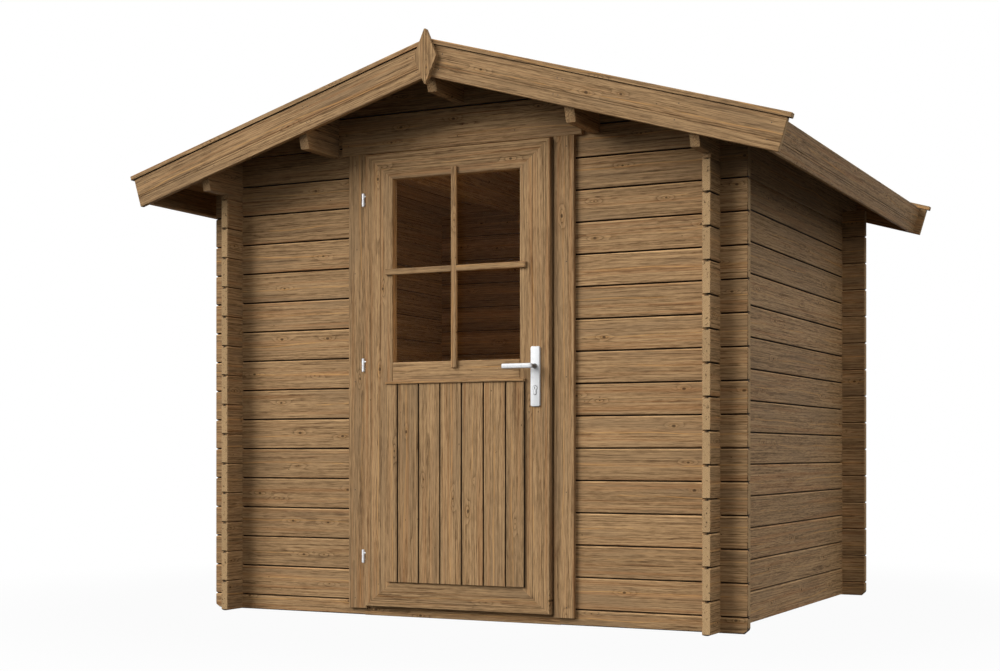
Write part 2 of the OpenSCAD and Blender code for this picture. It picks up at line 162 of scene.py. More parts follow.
class Graph:
    """The nodes of one material or of the world, with the shader that they feed."""

    def __init__(self, owner: bpy.types.Material | bpy.types.World) -> None:
        """Starts afresh.

        Args:
            owner: The material or world, whose nodes are cleared.
        """
        owner.use_nodes = True
        self.tree = owner.node_tree
        self.tree.nodes.clear()

    def add(
        self,
        kind: str,
        settings: Mapping[str, object] | None = None,
        inputs: Mapping[str | int, object] | None = None,
        output: str | int = 0,
    ) -> Field:
        """Adds a node.

        Args:
            kind: The node's type.
            settings: Its properties, set before its sockets.
            inputs: Values or fields for its sockets, by name or number.
            output: The socket that the result wraps.

        Returns:
            The output as a field.
        """
        node = self.tree.nodes.new(kind)
        for name, value in (settings or {}).items():
            setattr(node, name, value)
        for key, value in (inputs or {}).items():
            if isinstance(value, Field):
                self.tree.links.new(value.socket, node.inputs[key])
            elif isinstance(value, tuple) and len(value) == 3 and node.inputs[key].type == "RGBA":
                node.inputs[key].default_value = (*value, 1.0)
            else:
                node.inputs[key].default_value = value
        if not node.outputs:
            return Field(self, None)
        return Field(self, node.outputs[output])

    def read(self, attribute: str, output: str = "Fac") -> Field:
        """A mesh attribute."""
        return self.add("ShaderNodeAttribute", {"attribute_name": attribute}, output=output)

    def vector(self, x: Field | float, y: Field | float, z: Field | float) -> Field:
        """Three values as a vector."""
        return self.add("ShaderNodeCombineXYZ", inputs={0: x, 1: y, 2: z})

    def parts(self, vector: Field) -> tuple[Field, Field, Field]:
        """A vector's three values."""
        first = self.add("ShaderNodeSeparateXYZ", inputs={0: vector})
        return tuple(Field(self, first.socket.node.outputs[k]) for k in range(3))

    def blend(self, first: object, second: object, share: object) -> Field:
        """Two colours mixed: first where share is zero, second where it is one."""
        settings = {"data_type": "RGBA", "blend_type": "MIX", "clamp_factor": True}
        return self.add("ShaderNodeMix", settings, {0: share, 6: first, 7: second}, output=2)

    def shade(self, colour: Field, strength: Field | float) -> Field:
        """A colour made lighter or darker by strength."""
        return self.add("ShaderNodeVectorMath", {"operation": "SCALE"}, {0: colour, "Scale": strength})

    def noise(self, where: Field, detail: float, roughness: float = 0.55) -> Field:
        """Cloudy noise about one half, at the scale of where."""
        inputs = {"Vector": where, "Scale": 1.0, "Detail": detail, "Roughness": roughness}
        return self.add("ShaderNodeTexNoise", {"noise_dimensions": "3D"}, inputs)

    def bump(self, strength: float, distance: float, height: Field) -> Field:
        """A surface direction that follows height."""
        inputs = {"Strength": strength, "Distance": distance, "Height": height}
        return self.add("ShaderNodeBump", inputs=inputs)

    def finish(self, shader: Field) -> None:
        """Shows shader as the surface."""
        self.add("ShaderNodeOutputMaterial", inputs={"Surface": shader})


@dataclass(frozen=True)
class Layer:
    """One layer of marks in wood, drawn out along the grain.

    Attributes:
        by_length: Marks in each metre of length.
        by_width: Marks in each metre across.
        shift: Sets one layer apart from another.
        detail: How many finer marks it has.
        roughness: How strong the finer marks are.
        weight: How strongly it darkens the wood.
        relief: How strongly it raises the surface.
    """

    by_length: float
    by_width: float
    shift: float
    detail: float
    roughness: float = 0.55
    weight: float = 0.0
    relief: float = 0.0


WANDER = Layer(1.3, 5.0, 3.0, 2.0)
RAGGED = Layer(110.0, 110.0, 7.0, 2.0)
RIPPLE = Layer(4.0, 45.0, 11.0, 3.0)
FIBRE = Layer(2.6, 290.0, 17.0, 4.0, 0.62, weight=1.7, relief=0.9)
STREAK = Layer(2.2, 200.0, 23.0, 3.0, 0.6, weight=1.3)
HAIR = Layer(22.0, 430.0, 29.0, 3.0, 0.65, weight=1.9, relief=0.4)
CLOUD = Layer(2.2, 15.0, 31.0, 3.0)
PATCH = Layer(9.0, 80.0, 41.0, 4.0, 0.75, weight=0.5)
CRACK = Layer(5.0, 190.0, 53.0, 2.0)
STAIN = Layer(0.9, 60.0, 61.0, 2.0)


class Grain:
    """Places inside a board, measured along and across its grain."""

    def __init__(self, graph: Graph) -> None:
        """Reads the places that the boards carry into graph."""
        self.graph = graph
        self.along, self.across, self.depth = graph.parts(graph.read("grain", "Vector"))

    def noise(self, layer: Layer) -> Field:
        """Makes the noise of a layer.

        Args:
            layer: Its sizes.

        Returns:
            The noise, about one half.
        """
        across = self.across * layer.by_width + layer.shift
        where = self.graph.vector(self.along * layer.by_length, across, self.depth * layer.by_width)
        return self.graph.noise(where, layer.detail, layer.roughness)


class Knots:
    """Knots strewn over a board.

    Attributes:
        swirl: How far the rings bend round a knot.
        core: One in the dark middle of a knot.
        halo: One close round a knot, where the wood is warm.
        rim: One on the dark ring round a knot.
        CHANCE: Luck below the first leaves no knot, and above the second a whole one.
        LEAST: Least radius of a knot.
        SPREAD: How much larger a knot may be.
        LENGTH: Share that distance along the board counts for, squared, in a knot's shape.
        BEND_LENGTH: The same share for the rings that bend round it.
        BEND: Distance over which the rings bend.
        CORE: Where the core starts and where it is full, in radii.
        HALO: The same for the halo.
        RIM: Where the rim lies and how wide it is, in radii.
    """

    CHANCE = (0.46, 0.50)
    LEAST = 0.0024
    SPREAD = 0.0034
    LENGTH = 0.40
    BEND_LENGTH = 0.08
    BEND = 0.0105
    CORE = (1.2, 0.5)
    HALO = (3.4, 1.3)
    RIM = (1.75, 0.28)

    def __init__(self, grain: Grain, gap: float, width: float) -> None:
        """Strews the knots.

        Args:
            grain: The board's grain.
            gap: Length of board in which there may be one knot.
            width: Width of board in which there may be one knot.
        """
        graph = grain.graph
        cell = graph.vector(grain.along / gap, grain.across / width + 0.5, 0.0)
        kind = {"voronoi_dimensions": "2D", "feature": "F1"}
        cells = {"Vector": cell, "Scale": 1.0, "Randomness": 0.8}
        middle_u, middle_v, _ = graph.parts(graph.add("ShaderNodeTexVoronoi", kind, cells, "Position"))
        chance, luck, _ = graph.parts(graph.add("ShaderNodeTexVoronoi", kind, cells, "Color"))
        from_u = grain.along - middle_u * gap
        from_v = grain.across - (middle_v - 0.5) * width
        present = luck.between(*self.CHANCE)
        reach = (from_u * from_u * self.BEND_LENGTH + from_v * from_v) ** 0.5
        size = chance * self.SPREAD + self.LEAST
        ragged = (grain.noise(RAGGED) - 0.5) * 0.6
        radius = (from_u * from_u * self.LENGTH + from_v * from_v) ** 0.5 / size + ragged
        self.swirl = reach.falloff(self.BEND) * present
        self.core = radius.between(*self.CORE) * present
        self.halo = radius.between(*self.HALO) * present
        self.rim = (radius - self.RIM[0]).falloff(self.RIM[1]) * present


@dataclass(frozen=True)
class Wood:
    """Impregnated softwood that has weathered: rings, fibres, knots and specks along each board's grain."""

    name: str
    light: Colour = tint(181, 146, 104)
    dark: Colour = tint(88, 63, 38)
    warm: Colour = tint(206, 154, 92)
    grey: Colour = tint(132, 108, 80)
    rust: Colour = tint(158, 104, 58)
    knot: Colour = tint(52, 34, 20)
    end_light: Colour = tint(190, 158, 116)
    end_dark: Colour = tint(122, 93, 62)
    end_blot: Colour = tint(62, 43, 25)
    ring_gap: float = 0.0098
    end_ring_gap: float = 0.0046
    knot_gap: float = 0.21
    knot_width: float = 0.10
    ring_depth: float = 0.70
    grain_depth: float = 1.0
    warmth: float = 0.65
    exposure: float = 1.0
    tone_depth: float = 0.14
    # Scales the painted shading: painted shade darkens joints, grooves and gaps between boards, and a
    # painted highlight lightens bevels that catch the light.
    painted_shading_depth: float = 0.97
    pin_gap: float = 0.060
    pin_width: float = 0.026
    relief: float = 0.0012
    end_relief: float = 0.0010

    def make(self) -> bpy.types.Material:
        """Builds the material for faces that run along the grain.

        Returns:
            The material.
        """
        material = bpy.data.materials.new(self.name)
        graph = Graph(material)
        grain = Grain(graph)
        across = grain.across
        knots = Knots(grain, self.knot_gap, self.knot_width)

        wander = (grain.noise(WANDER) - 0.5) * 0.05
        pith = ((across + wander) * (across + wander) + grain.depth * grain.depth) ** 0.5
        ripple = (grain.noise(RIPPLE) - 0.5) * 2.0
        ring = (pith / self.ring_gap + ripple + knots.swirl * 2.2).fraction()
        late = ring ** 3.0 * (1.0 - ring.between(0.93, 1.0))

        fibre = grain.noise(FIBRE) - 0.5
        hair = grain.noise(HAIR) - 0.5
        streak = grain.noise(STREAK) - 0.5
        cloud = grain.noise(CLOUD)
        patch = grain.noise(PATCH) - 0.5
        stain = grain.noise(STAIN).between(0.50, 0.72)
        crack = grain.noise(CRACK).between(0.63, 0.73)
        pin = self.pinholes(grain)

        marks = fibre * FIBRE.weight + hair * HAIR.weight + streak * STREAK.weight + patch * PATCH.weight
        rings = late * self.ring_depth * (0.6 + knots.swirl * 0.5)
        colour = graph.blend(self.light, self.dark, marks * self.grain_depth + rings + 0.33)
        colour = graph.blend(colour, self.grey, cloud.between(0.45, 0.75) * 0.5)
        colour = graph.blend(colour, self.rust, stain * 0.32)
        middle = across + wander * 1.3 + ripple * 0.0016
        heart = middle.falloff(0.0022) * (cloud + patch * 0.8).between(0.40, 0.60)
        colour = graph.blend(colour, self.warm, (heart * 0.85 + knots.halo * 0.18) * self.warmth)
        under = (middle + 0.0042).falloff(0.0016) * heart.between(-0.2, 1.0)
        colour = graph.blend(colour, self.knot, under * 0.25 + knots.rim * 0.14)
        lit = graph.read("tone") * self.tone_depth + patch * 0.25 + 0.93
        colour = graph.shade(colour, lit * self.exposure)
        colour = graph.blend(colour, self.knot, knots.core * 0.8)
        colour = graph.blend(colour, self.knot, pin * 0.85 + crack * 0.5)
        # Painted shade in joints, grooves and gaps between boards, and a painted highlight on bevels, read
        # from each point's painted shading.
        colour = graph.shade(colour, 1.0 - graph.read("painted_shading") * self.painted_shading_depth)

        fine = fibre * FIBRE.relief + hair * HAIR.relief
        height = fine + late * 0.3 - knots.core * 0.3 - pin * 0.8 - crack * 0.6
        bump = graph.bump(0.6, self.relief, height)
        surface = {
            "Base Color": colour,
            "Roughness": fibre * 0.3 + 0.76,
            "Normal": bump,
            "Specular IOR Level": 0.12,
        }
        graph.finish(graph.add("ShaderNodeBsdfPrincipled", inputs=surface))
        return material

    def pinholes(self, grain: Grain) -> Field:
        """Strews small dark specks.

        Args:
            grain: The board's grain.

        Returns:
            One inside a speck, else zero.
        """
        graph = grain.graph
        across, depth = grain.across / self.pin_width, grain.depth / self.pin_width
        dust = graph.vector(grain.along / self.pin_gap, across, depth)
        cells = {"Vector": dust, "Scale": 1.0, "Randomness": 1.0}
        near = graph.add("ShaderNodeTexVoronoi", {"feature": "F1"}, cells, "Distance")
        luck, _, _ = graph.parts(graph.add("ShaderNodeTexVoronoi", {"feature": "F1"}, cells, "Color"))
        return near.between(0.075, 0.04) * luck.between(0.78, 0.82)

    def make_ends(self) -> bpy.types.Material:
        """Builds the material for sawn ends, which show the rings as arcs and a coarse pale fibre.

        Returns:
            The material.
        """
        material = bpy.data.materials.new(f"{self.name}_ends")
        graph = Graph(material)
        along, across, depth = graph.parts(graph.read("grain", "Vector"))
        wobble = (graph.noise(graph.vector(across * 60.0, depth * 60.0, along), 2.0) - 0.5) * 1.2
        ring = ((across * across + depth * depth) ** 0.5 / self.end_ring_gap + wobble).fraction()
        pore = graph.noise(graph.vector(across * 380.0, depth * 380.0, along * 3.0), 3.0, 0.7)
        blot = graph.noise(graph.vector(across * 95.0, depth * 95.0, along * 3.0 + 5.0), 3.0, 0.6)
        share = ring ** 2.0 * 0.6 + (pore - 0.5) * 1.6 + 0.1
        colour = graph.blend(self.end_light, self.end_dark, share)
        colour = graph.blend(colour, self.end_blot, blot.between(0.57, 0.72) * 0.85)
        colour = graph.shade(colour, (graph.read("tone") * self.tone_depth + 0.9) * self.exposure)
        bump = graph.bump(0.5, self.end_relief, pore * 0.6 + ring * 0.3)
        surface = {
            "Base Color": colour,
            "Roughness": pore * 0.15 + 0.78,
            "Normal": bump,
            "Specular IOR Level": 0.1,
        }
        graph.finish(graph.add("ShaderNodeBsdfPrincipled", inputs=surface))
        return material


@dataclass(frozen=True)
class Metal:
    """Satin cast metal with a fine grain, rubbed and dulled here and there."""

    name: str
    colour: Colour
    roughness: float = 0.34
    metallic: float = 0.85
    grain: float = 420.0
    smudge: float = 60.0
    wear: float = 0.62
    relief: float = 0.0005

    @cache
    def make(self) -> bpy.types.Material:
        """Builds the material.

        Returns:
            The material.
        """
        material = bpy.data.materials.new(self.name)
        graph = Graph(material)
        x, y, z = graph.parts(graph.add("ShaderNodeTexCoord", output="Object"))
        grain = graph.noise(graph.vector(*(c * self.grain for c in (x, y, z))), 3.0, 0.6)
        smudge = graph.noise(graph.vector(x * self.smudge, y * self.smudge, z * 34.0), 3.0)
        wear_and_highlight = tuple(part * self.wear for part in self.colour)
        share = (grain - 0.5) * 1.1 + smudge.between(0.5, 0.8) * 0.5 + 0.1
        bump = graph.bump(0.35, self.relief, grain)
        surface = {
            "Base Color": graph.blend(self.colour, wear_and_highlight, share),
            "Roughness": grain * 0.16 + smudge.between(0.4, 0.75) * 0.12 + (self.roughness - 0.1),
            "Normal": bump,
            "Metallic": self.metallic,
        }
        graph.finish(graph.add("ShaderNodeBsdfPrincipled", inputs=surface))
        return material


@dataclass(frozen=True)
class Glass:
    """Clear window glass with a little dust on it."""

    name: str
    colour: Colour = tint(44, 40, 34)
    ior: float = 1.45

    def make(self) -> bpy.types.Material:
        """Builds the material.

        Returns:
            The material.
        """
        material = bpy.data.materials.new(self.name)
        graph = Graph(material)
        x, y, z = graph.parts(graph.add("ShaderNodeTexCoord", output="Object"))
        film = graph.noise(graph.vector(x * 5.0, y * 5.0, z * 3.0), 4.0, 0.6)
        surface = {
            "Base Color": self.colour,
            "Roughness": film * 0.08 + 0.02,
            "Alpha": film.between(0.35, 0.8) * 0.03 + 0.04,
            "IOR": self.ior,
            "Specular IOR Level": 0.4,
        }
        graph.finish(graph.add("ShaderNodeBsdfPrincipled", inputs=surface))
        return material


class Finish(Enum):
    """The woods that the shed's parts are made of."""

    LOG = Wood("log_wood", exposure=0.94)
    ROOF = Wood("roof_wood", exposure=0.9, knot_gap=0.4)
    TRIM = Wood("trim_wood", knot_gap=0.19, knot_width=0.09, exposure=0.915)
    DOOR = Wood(
        "door_wood", knot_gap=0.40, ring_depth=0.75, grain_depth=0.9, warmth=0.55, exposure=0.935
    )
    FLOOR = Wood(
        "floor_wood",
        light=tint(196, 166, 122),
        dark=tint(140, 106, 66),
        warm=tint(196, 150, 94),
        grey=tint(168, 146, 112),
        knot=tint(90, 58, 34),
    )

    @cache
    def materials(self) -> list[bpy.types.Material]:
        """The finish's material for long faces, then the one for sawn ends."""
        return [self.value.make(), self.value.make_ends()]


# ------------------------------------------------------------------ meshes


def show(
    name: str,
    points: Sequence[Vector],
    faces: Sequence[Sequence[int]],
    materials: Sequence[bpy.types.Material],
    body: str,
    nodes: Sequence[str],
) -> bpy.types.Object:
    """Makes a piece and fastens it to its body.

    Args:
        name: The piece's name.
        points: Its corners in the world.
        faces: Its faces, as numbers of corners.
        materials: Its materials.
        body: The body that it moves with.
        nodes: The construction nodes that it stands for.

    Returns:
        The new object.
    """
    mesh = bpy.data.meshes.new(name)
    mesh.from_pydata([tuple(p) for p in points], [], faces)
    for material in materials:
        mesh.materials.append(material)
    piece = bpy.data.objects.new(name, mesh)
    bpy.context.scene.collection.objects.link(piece)
    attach(piece, body)
    if nodes:
        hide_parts(*nodes)
    LOG.info("%s: %d faces on %s", name, len(faces), body)
    return piece


def volume(points: Sequence[Vector], faces: Sequence[Sequence[int]]) -> float:
    """Measures six times the volume inside faces.

    Args:
        points: The corners.
        faces: The faces, as numbers of corners.

    Returns:
        The volume, below zero if the faces are turned inwards.
    """
    total = 0.0
    for face in faces:
        first = points[face[0]]
        for one, two in zip(face[1:], face[2:]):
            total += first.dot(points[one].cross(points[two]))
    return total


@dataclass(frozen=True)
class Cut:
    """One station along a board, and how far the board's section may reach there.

    Attributes:
        along: Distance along the board.
        low: The section's lower edge is raised to this.
        high: The section's upper edge is lowered to this.
        inset: How far both faces are drawn in.
        slant: How far the station moves along the board for each metre of height.
        scale: The section's height is multiplied by this.
    """

    along: float
    low: float = -math.inf
    high: float = math.inf
    inset: float = 0.0
    slant: float = 0.0
    scale: float = 1.0


class Timber:
    """Boards and logs that become one piece, each with a run of grain of its own.

    Attributes:
        RUN: Length of tree that a board's grain is taken from.
        OFF_CENTRE: How far a board's middle usually lies to one side of its tree's heart.
        PITH: Usual distance from a board's face to the heart.
        PITH_SHARES: Least and greatest share of that distance.
        LEAST_AREA: Faces below this area are left out.
    """

    RUN = 40.0
    OFF_CENTRE = 0.009
    PITH = 0.032
    PITH_SHARES = (0.6, 1.5)
    LEAST_AREA = 1e-9

    def __init__(self, seed: int) -> None:
        """Starts an empty pile, with its own repeatable chance.

        Args:
            seed: Sets which grain its boards get.
        """
        self.points: list[Vector] = []
        self.faces: list[list[int]] = []
        self.is_end: list[int] = []
        self.grain: list[float] = []
        self.tone: list[float] = []
        self.painted_shading: list[float] = []
        self.chance = random.Random(seed)

    def board(self, section: Outline, cuts: Sequence[Cut], place: Matrix) -> None:
        """Adds one board: its section carried from cut to cut.

        Args:
            section: Closed outline as depth and height, then, if given, the painted shading there: painted
                shade in a groove or joint above zero, a painted highlight below zero.
            cuts: Stations along the board, in order.
            place: Carries (along, height, depth) to the world.
        """
        heights = [corner[1] for corner in section]
        depths = [corner[0] for corner in section]
        middle = (min(heights) + max(heights)) / 2
        start = Vector((
            self.chance.uniform(0.0, self.RUN),
            self.chance.gauss(0.0, self.OFF_CENTRE) - middle,
            self.PITH * self.chance.uniform(*self.PITH_SHARES),
        ))
        shade = self.chance.random()
        front, rear = max(depths), min(depths)
        known: dict[tuple[float, ...], int] = {}
        rings = []
        for cut in cuts:
            ring = []
            for depth, height, *groove in section:
                v = min(max(height * cut.scale, cut.low), cut.high)
                w = min(max(depth, rear + cut.inset), front - cut.inset)
                spot = Vector((cut.along + cut.slant * v, v, w))
                key = tuple(round(c, 6) for c in spot)
                if key not in known:
                    known[key] = len(self.points)
                    self.points.append(place @ spot)
                    self.grain.extend(spot + start)
                    self.tone.append(shade)
                    self.painted_shading.append(groove[0] if groove else 0.0)
                ring.append(known[key])
            rings.append(ring)
        faces = [(ring, 1) for ring in (rings[0][::-1], rings[-1])]
        for one, two in zip(rings, rings[1:]):
            for k in range(len(section)):
                n = (k + 1) % len(section)
                faces.append(([one[k], one[n], two[n], two[k]], 0))
        clean = [(face, end) for face, end in ((self._tidy(f), e) for f, e in faces) if face]
        turned = volume(self.points, [face for face, _ in clean]) < 0
        for face, end in clean:
            self.faces.append(face[::-1] if turned else face)
            self.is_end.append(end)

    def _tidy(self, face: Sequence[int]) -> list[int]:
        """Takes repeated corners out of a face.

        Args:
            face: Its corners.

        Returns:
            The corners left, or nothing if the face has no area.
        """
        kept = [c for k, c in enumerate(face) if c != face[k - 1]]
        if len(set(kept)) < 3:
            return []
        area = Vector()
        first = self.points[kept[0]]
        for one, two in zip(kept[1:], kept[2:]):
            area += (self.points[one] - first).cross(self.points[two] - first)
        return kept if area.length > self.LEAST_AREA else []

    def show(
        self, name: str, body: str, nodes: Sequence[str], slot: str, finish: Finish
    ) -> bpy.types.Object:
        """Makes the pile one piece.

        Args:
            name: The piece's name.
            body: The body that it moves with.
            nodes: The construction nodes that it stands for.
            finish: The wood that it is made of.

        Returns:
            The piece.
        """
        piece = show(name, self.points, self.faces, finish.materials(), body, nodes)
        mesh = piece.data
        mesh.attributes.new("grain", "FLOAT_VECTOR", "POINT").data.foreach_set("vector", self.grain)
        mesh.attributes.new("tone", "FLOAT", "POINT").data.foreach_set("value", self.tone)
        # Each point's painted shade and painted highlight, for the wood material.
        mesh.attributes.new("painted_shading", "FLOAT", "POINT").data.foreach_set("value", self.painted_shading)
        mesh.polygons.foreach_set("material_index", self.is_end)
        mesh.update()
        return piece


def plank(
    low: float,
    high: float,
    thick: float,
    chamfer: float = 0.002,
    grooves: Sequence[tuple[float, float, float, float]] = (),
    dark: float = 0.0,
    wear_and_highlight: float = 0.28,
    highlight_fade: float = 0.0016,
) -> Outline:
    """Section of a planed board whose back lies at depth zero.

    Args:
        low: Height of its lower edge.
        high: Height of its upper edge.
        thick: Its thickness.
        chamfer: Width taken off each corner.
        grooves: Height, width, depth and painted shade of each V groove in its front.
        dark: Painted shade on its edge faces, where it lies close beside another board.
        wear_and_highlight: How much paler the corners of its front are painted: a painted highlight where
            they catch the light.
        highlight_fade: Width over which that painted highlight fades out.

    Returns:
        The outline, as Timber takes it.
    """
    small = chamfer / 2
    rim = chamfer + highlight_fade
    # Painted shade on the edge faces and a painted highlight on the front corners.
    outline = [(0.0, low + small), (small, low, dark), (thick - chamfer, low, dark)]
    outline += [(thick, low + chamfer, -wear_and_highlight), (thick, low + rim)]
    for at, width, deep, groove in sorted(grooves):
        outline += [(thick, at - width / 2), (thick - deep, at, groove), (thick, at + width / 2)]
    outline += [(thick, high - rim), (thick, high - chamfer, -wear_and_highlight), (thick - chamfer, high, dark)]
    return outline + [(small, high, dark), (0.0, high - small)]


def square_cuts(start: float, end: float, chamfer: float = 0.0015) -> list[Cut]:
    """Gives the cuts for a board with square ends whose corners are eased.

    Args:
        start: Its first end.
        end: Its other end.
        chamfer: Width taken off each corner.

    Returns:
        The cuts in order.
    """
    return [
        Cut(start, inset=chamfer),
        Cut(start + chamfer),
        Cut(end - chamfer),
        Cut(end, inset=chamfer),
    ]


def span(node: str) -> tuple[Vector, Vector]:
    """Lowest and highest corner of a construction node."""
    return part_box(node)


# ------------------------------------------------------------------ layout


@dataclass(frozen=True)
class Layout:
    """Driving sizes of the shed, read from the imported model.

    Attributes:
        half_w: Half the width over the walls.
        half_d: Half the depth over the walls.
        log_t: Thickness of a log.
        log_end: How far a log runs on past the corner.
        log_h: Height of a log.
        wall_top: Top of the front and back walls, where the gables start.
        ridge: Height of the roof boards' underside at the ridge.
        pitch: Slope of the roof, in radians.
        roof_t: Thickness of the roof boards.
        slope_l: Length of a barge board, down the slope.
        barge_h: Height of a barge board.
        barge_face: Distance from the middle to the barge boards' face.
        barge_back: Distance from the middle to their back.
        purlin_x: Distance from the middle to a middle purlin.
        purlin_w: Width of a purlin.
        purlin_h: Height of a purlin.
        rows: Logs in a side wall, below the eave purlin.
        purlin_cut: Slant at the tip of a purlin.
        eave_step: How far an eave purlin is cut away below, past the corner.
        seat: Clearance between a purlin and the roof boards.
    """

    half_w: float
    half_d: float
    log_t: float
    log_end: float
    log_h: float
    wall_top: float
    ridge: float
    pitch: float
    roof_t: float
    slope_l: float
    barge_h: float
    barge_face: float
    barge_back: float
    purlin_x: float
    purlin_w: float
    purlin_h: float
    rows: int = 14
    purlin_cut: float = 0.020
    eave_step: float = 0.018
    seat: float = 0.0002

    @classmethod
    def read(cls) -> Layout:
        """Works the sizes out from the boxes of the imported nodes.

        Returns:
            The layout.
        """
        side_low, side_high = span("right_wall")
        back_high = span("back_wall")[1]
        eave_low, eave_high = span("right_eave_purlin")
        ridge_low, ridge_high = span("ridge_purlin")
        barge_low, barge_high = span("front_right_barge")
        deck_high = span("right_roof_deck")[1]
        ridge = ridge_high.z + cls.seat
        pitch = math.atan2(ridge - (eave_high.z + cls.seat), eave_low.x)
        roof_t = (deck_high.z - ridge) * math.cos(pitch)
        slope_l = (barge_high.x - roof_t * math.sin(pitch)) / math.cos(pitch)
        barge_h = roof_t - (barge_low.z - ridge + slope_l * math.sin(pitch)) / math.cos(pitch)
        return cls(
            half_w=side_high.x,
            half_d=back_high.y,
            log_t=side_high.x - side_low.x,
            log_end=back_high.x - side_high.x,
            log_h=side_high.z / cls.rows,
            wall_top=back_high.z,
            ridge=ridge,
            pitch=pitch,
            roof_t=roof_t,
            slope_l=slope_l,
            barge_h=barge_h,
            barge_face=-barge_low.y,
            barge_back=-barge_high.y,
            purlin_x=span("mid_purlins")[1].x - ridge_high.x,
            purlin_w=2 * ridge_high.x,
            purlin_h=ridge - ridge_low.z,
        )

    @property
    def inner_x(self) -> float:
        """Inner face of the right-hand wall."""
        return self.half_w - self.log_t

    @property
    def inner_y(self) -> float:
        """Inner face of the back wall."""
        return self.half_d - self.log_t

    @property
    def down(self) -> Vector:
        """Direction down the right-hand slope."""
        return Vector((math.cos(self.pitch), 0.0, -math.sin(self.pitch)))

    @property
    def out(self) -> Vector:
        """Direction square to the right-hand slope, upwards."""
        return Vector((math.sin(self.pitch), 0.0, math.cos(self.pitch)))

    @property
    def top(self) -> Vector:
        """The ridge line's middle, at the underside of the roof boards."""
        return Vector((0.0, 0.0, self.ridge))

    def roof_z(self, x: float) -> float:
        """Height of the roof boards' underside at x."""
        return self.ridge - abs(x) * math.tan(self.pitch)


# ------------------------------------------------------------------ log walls


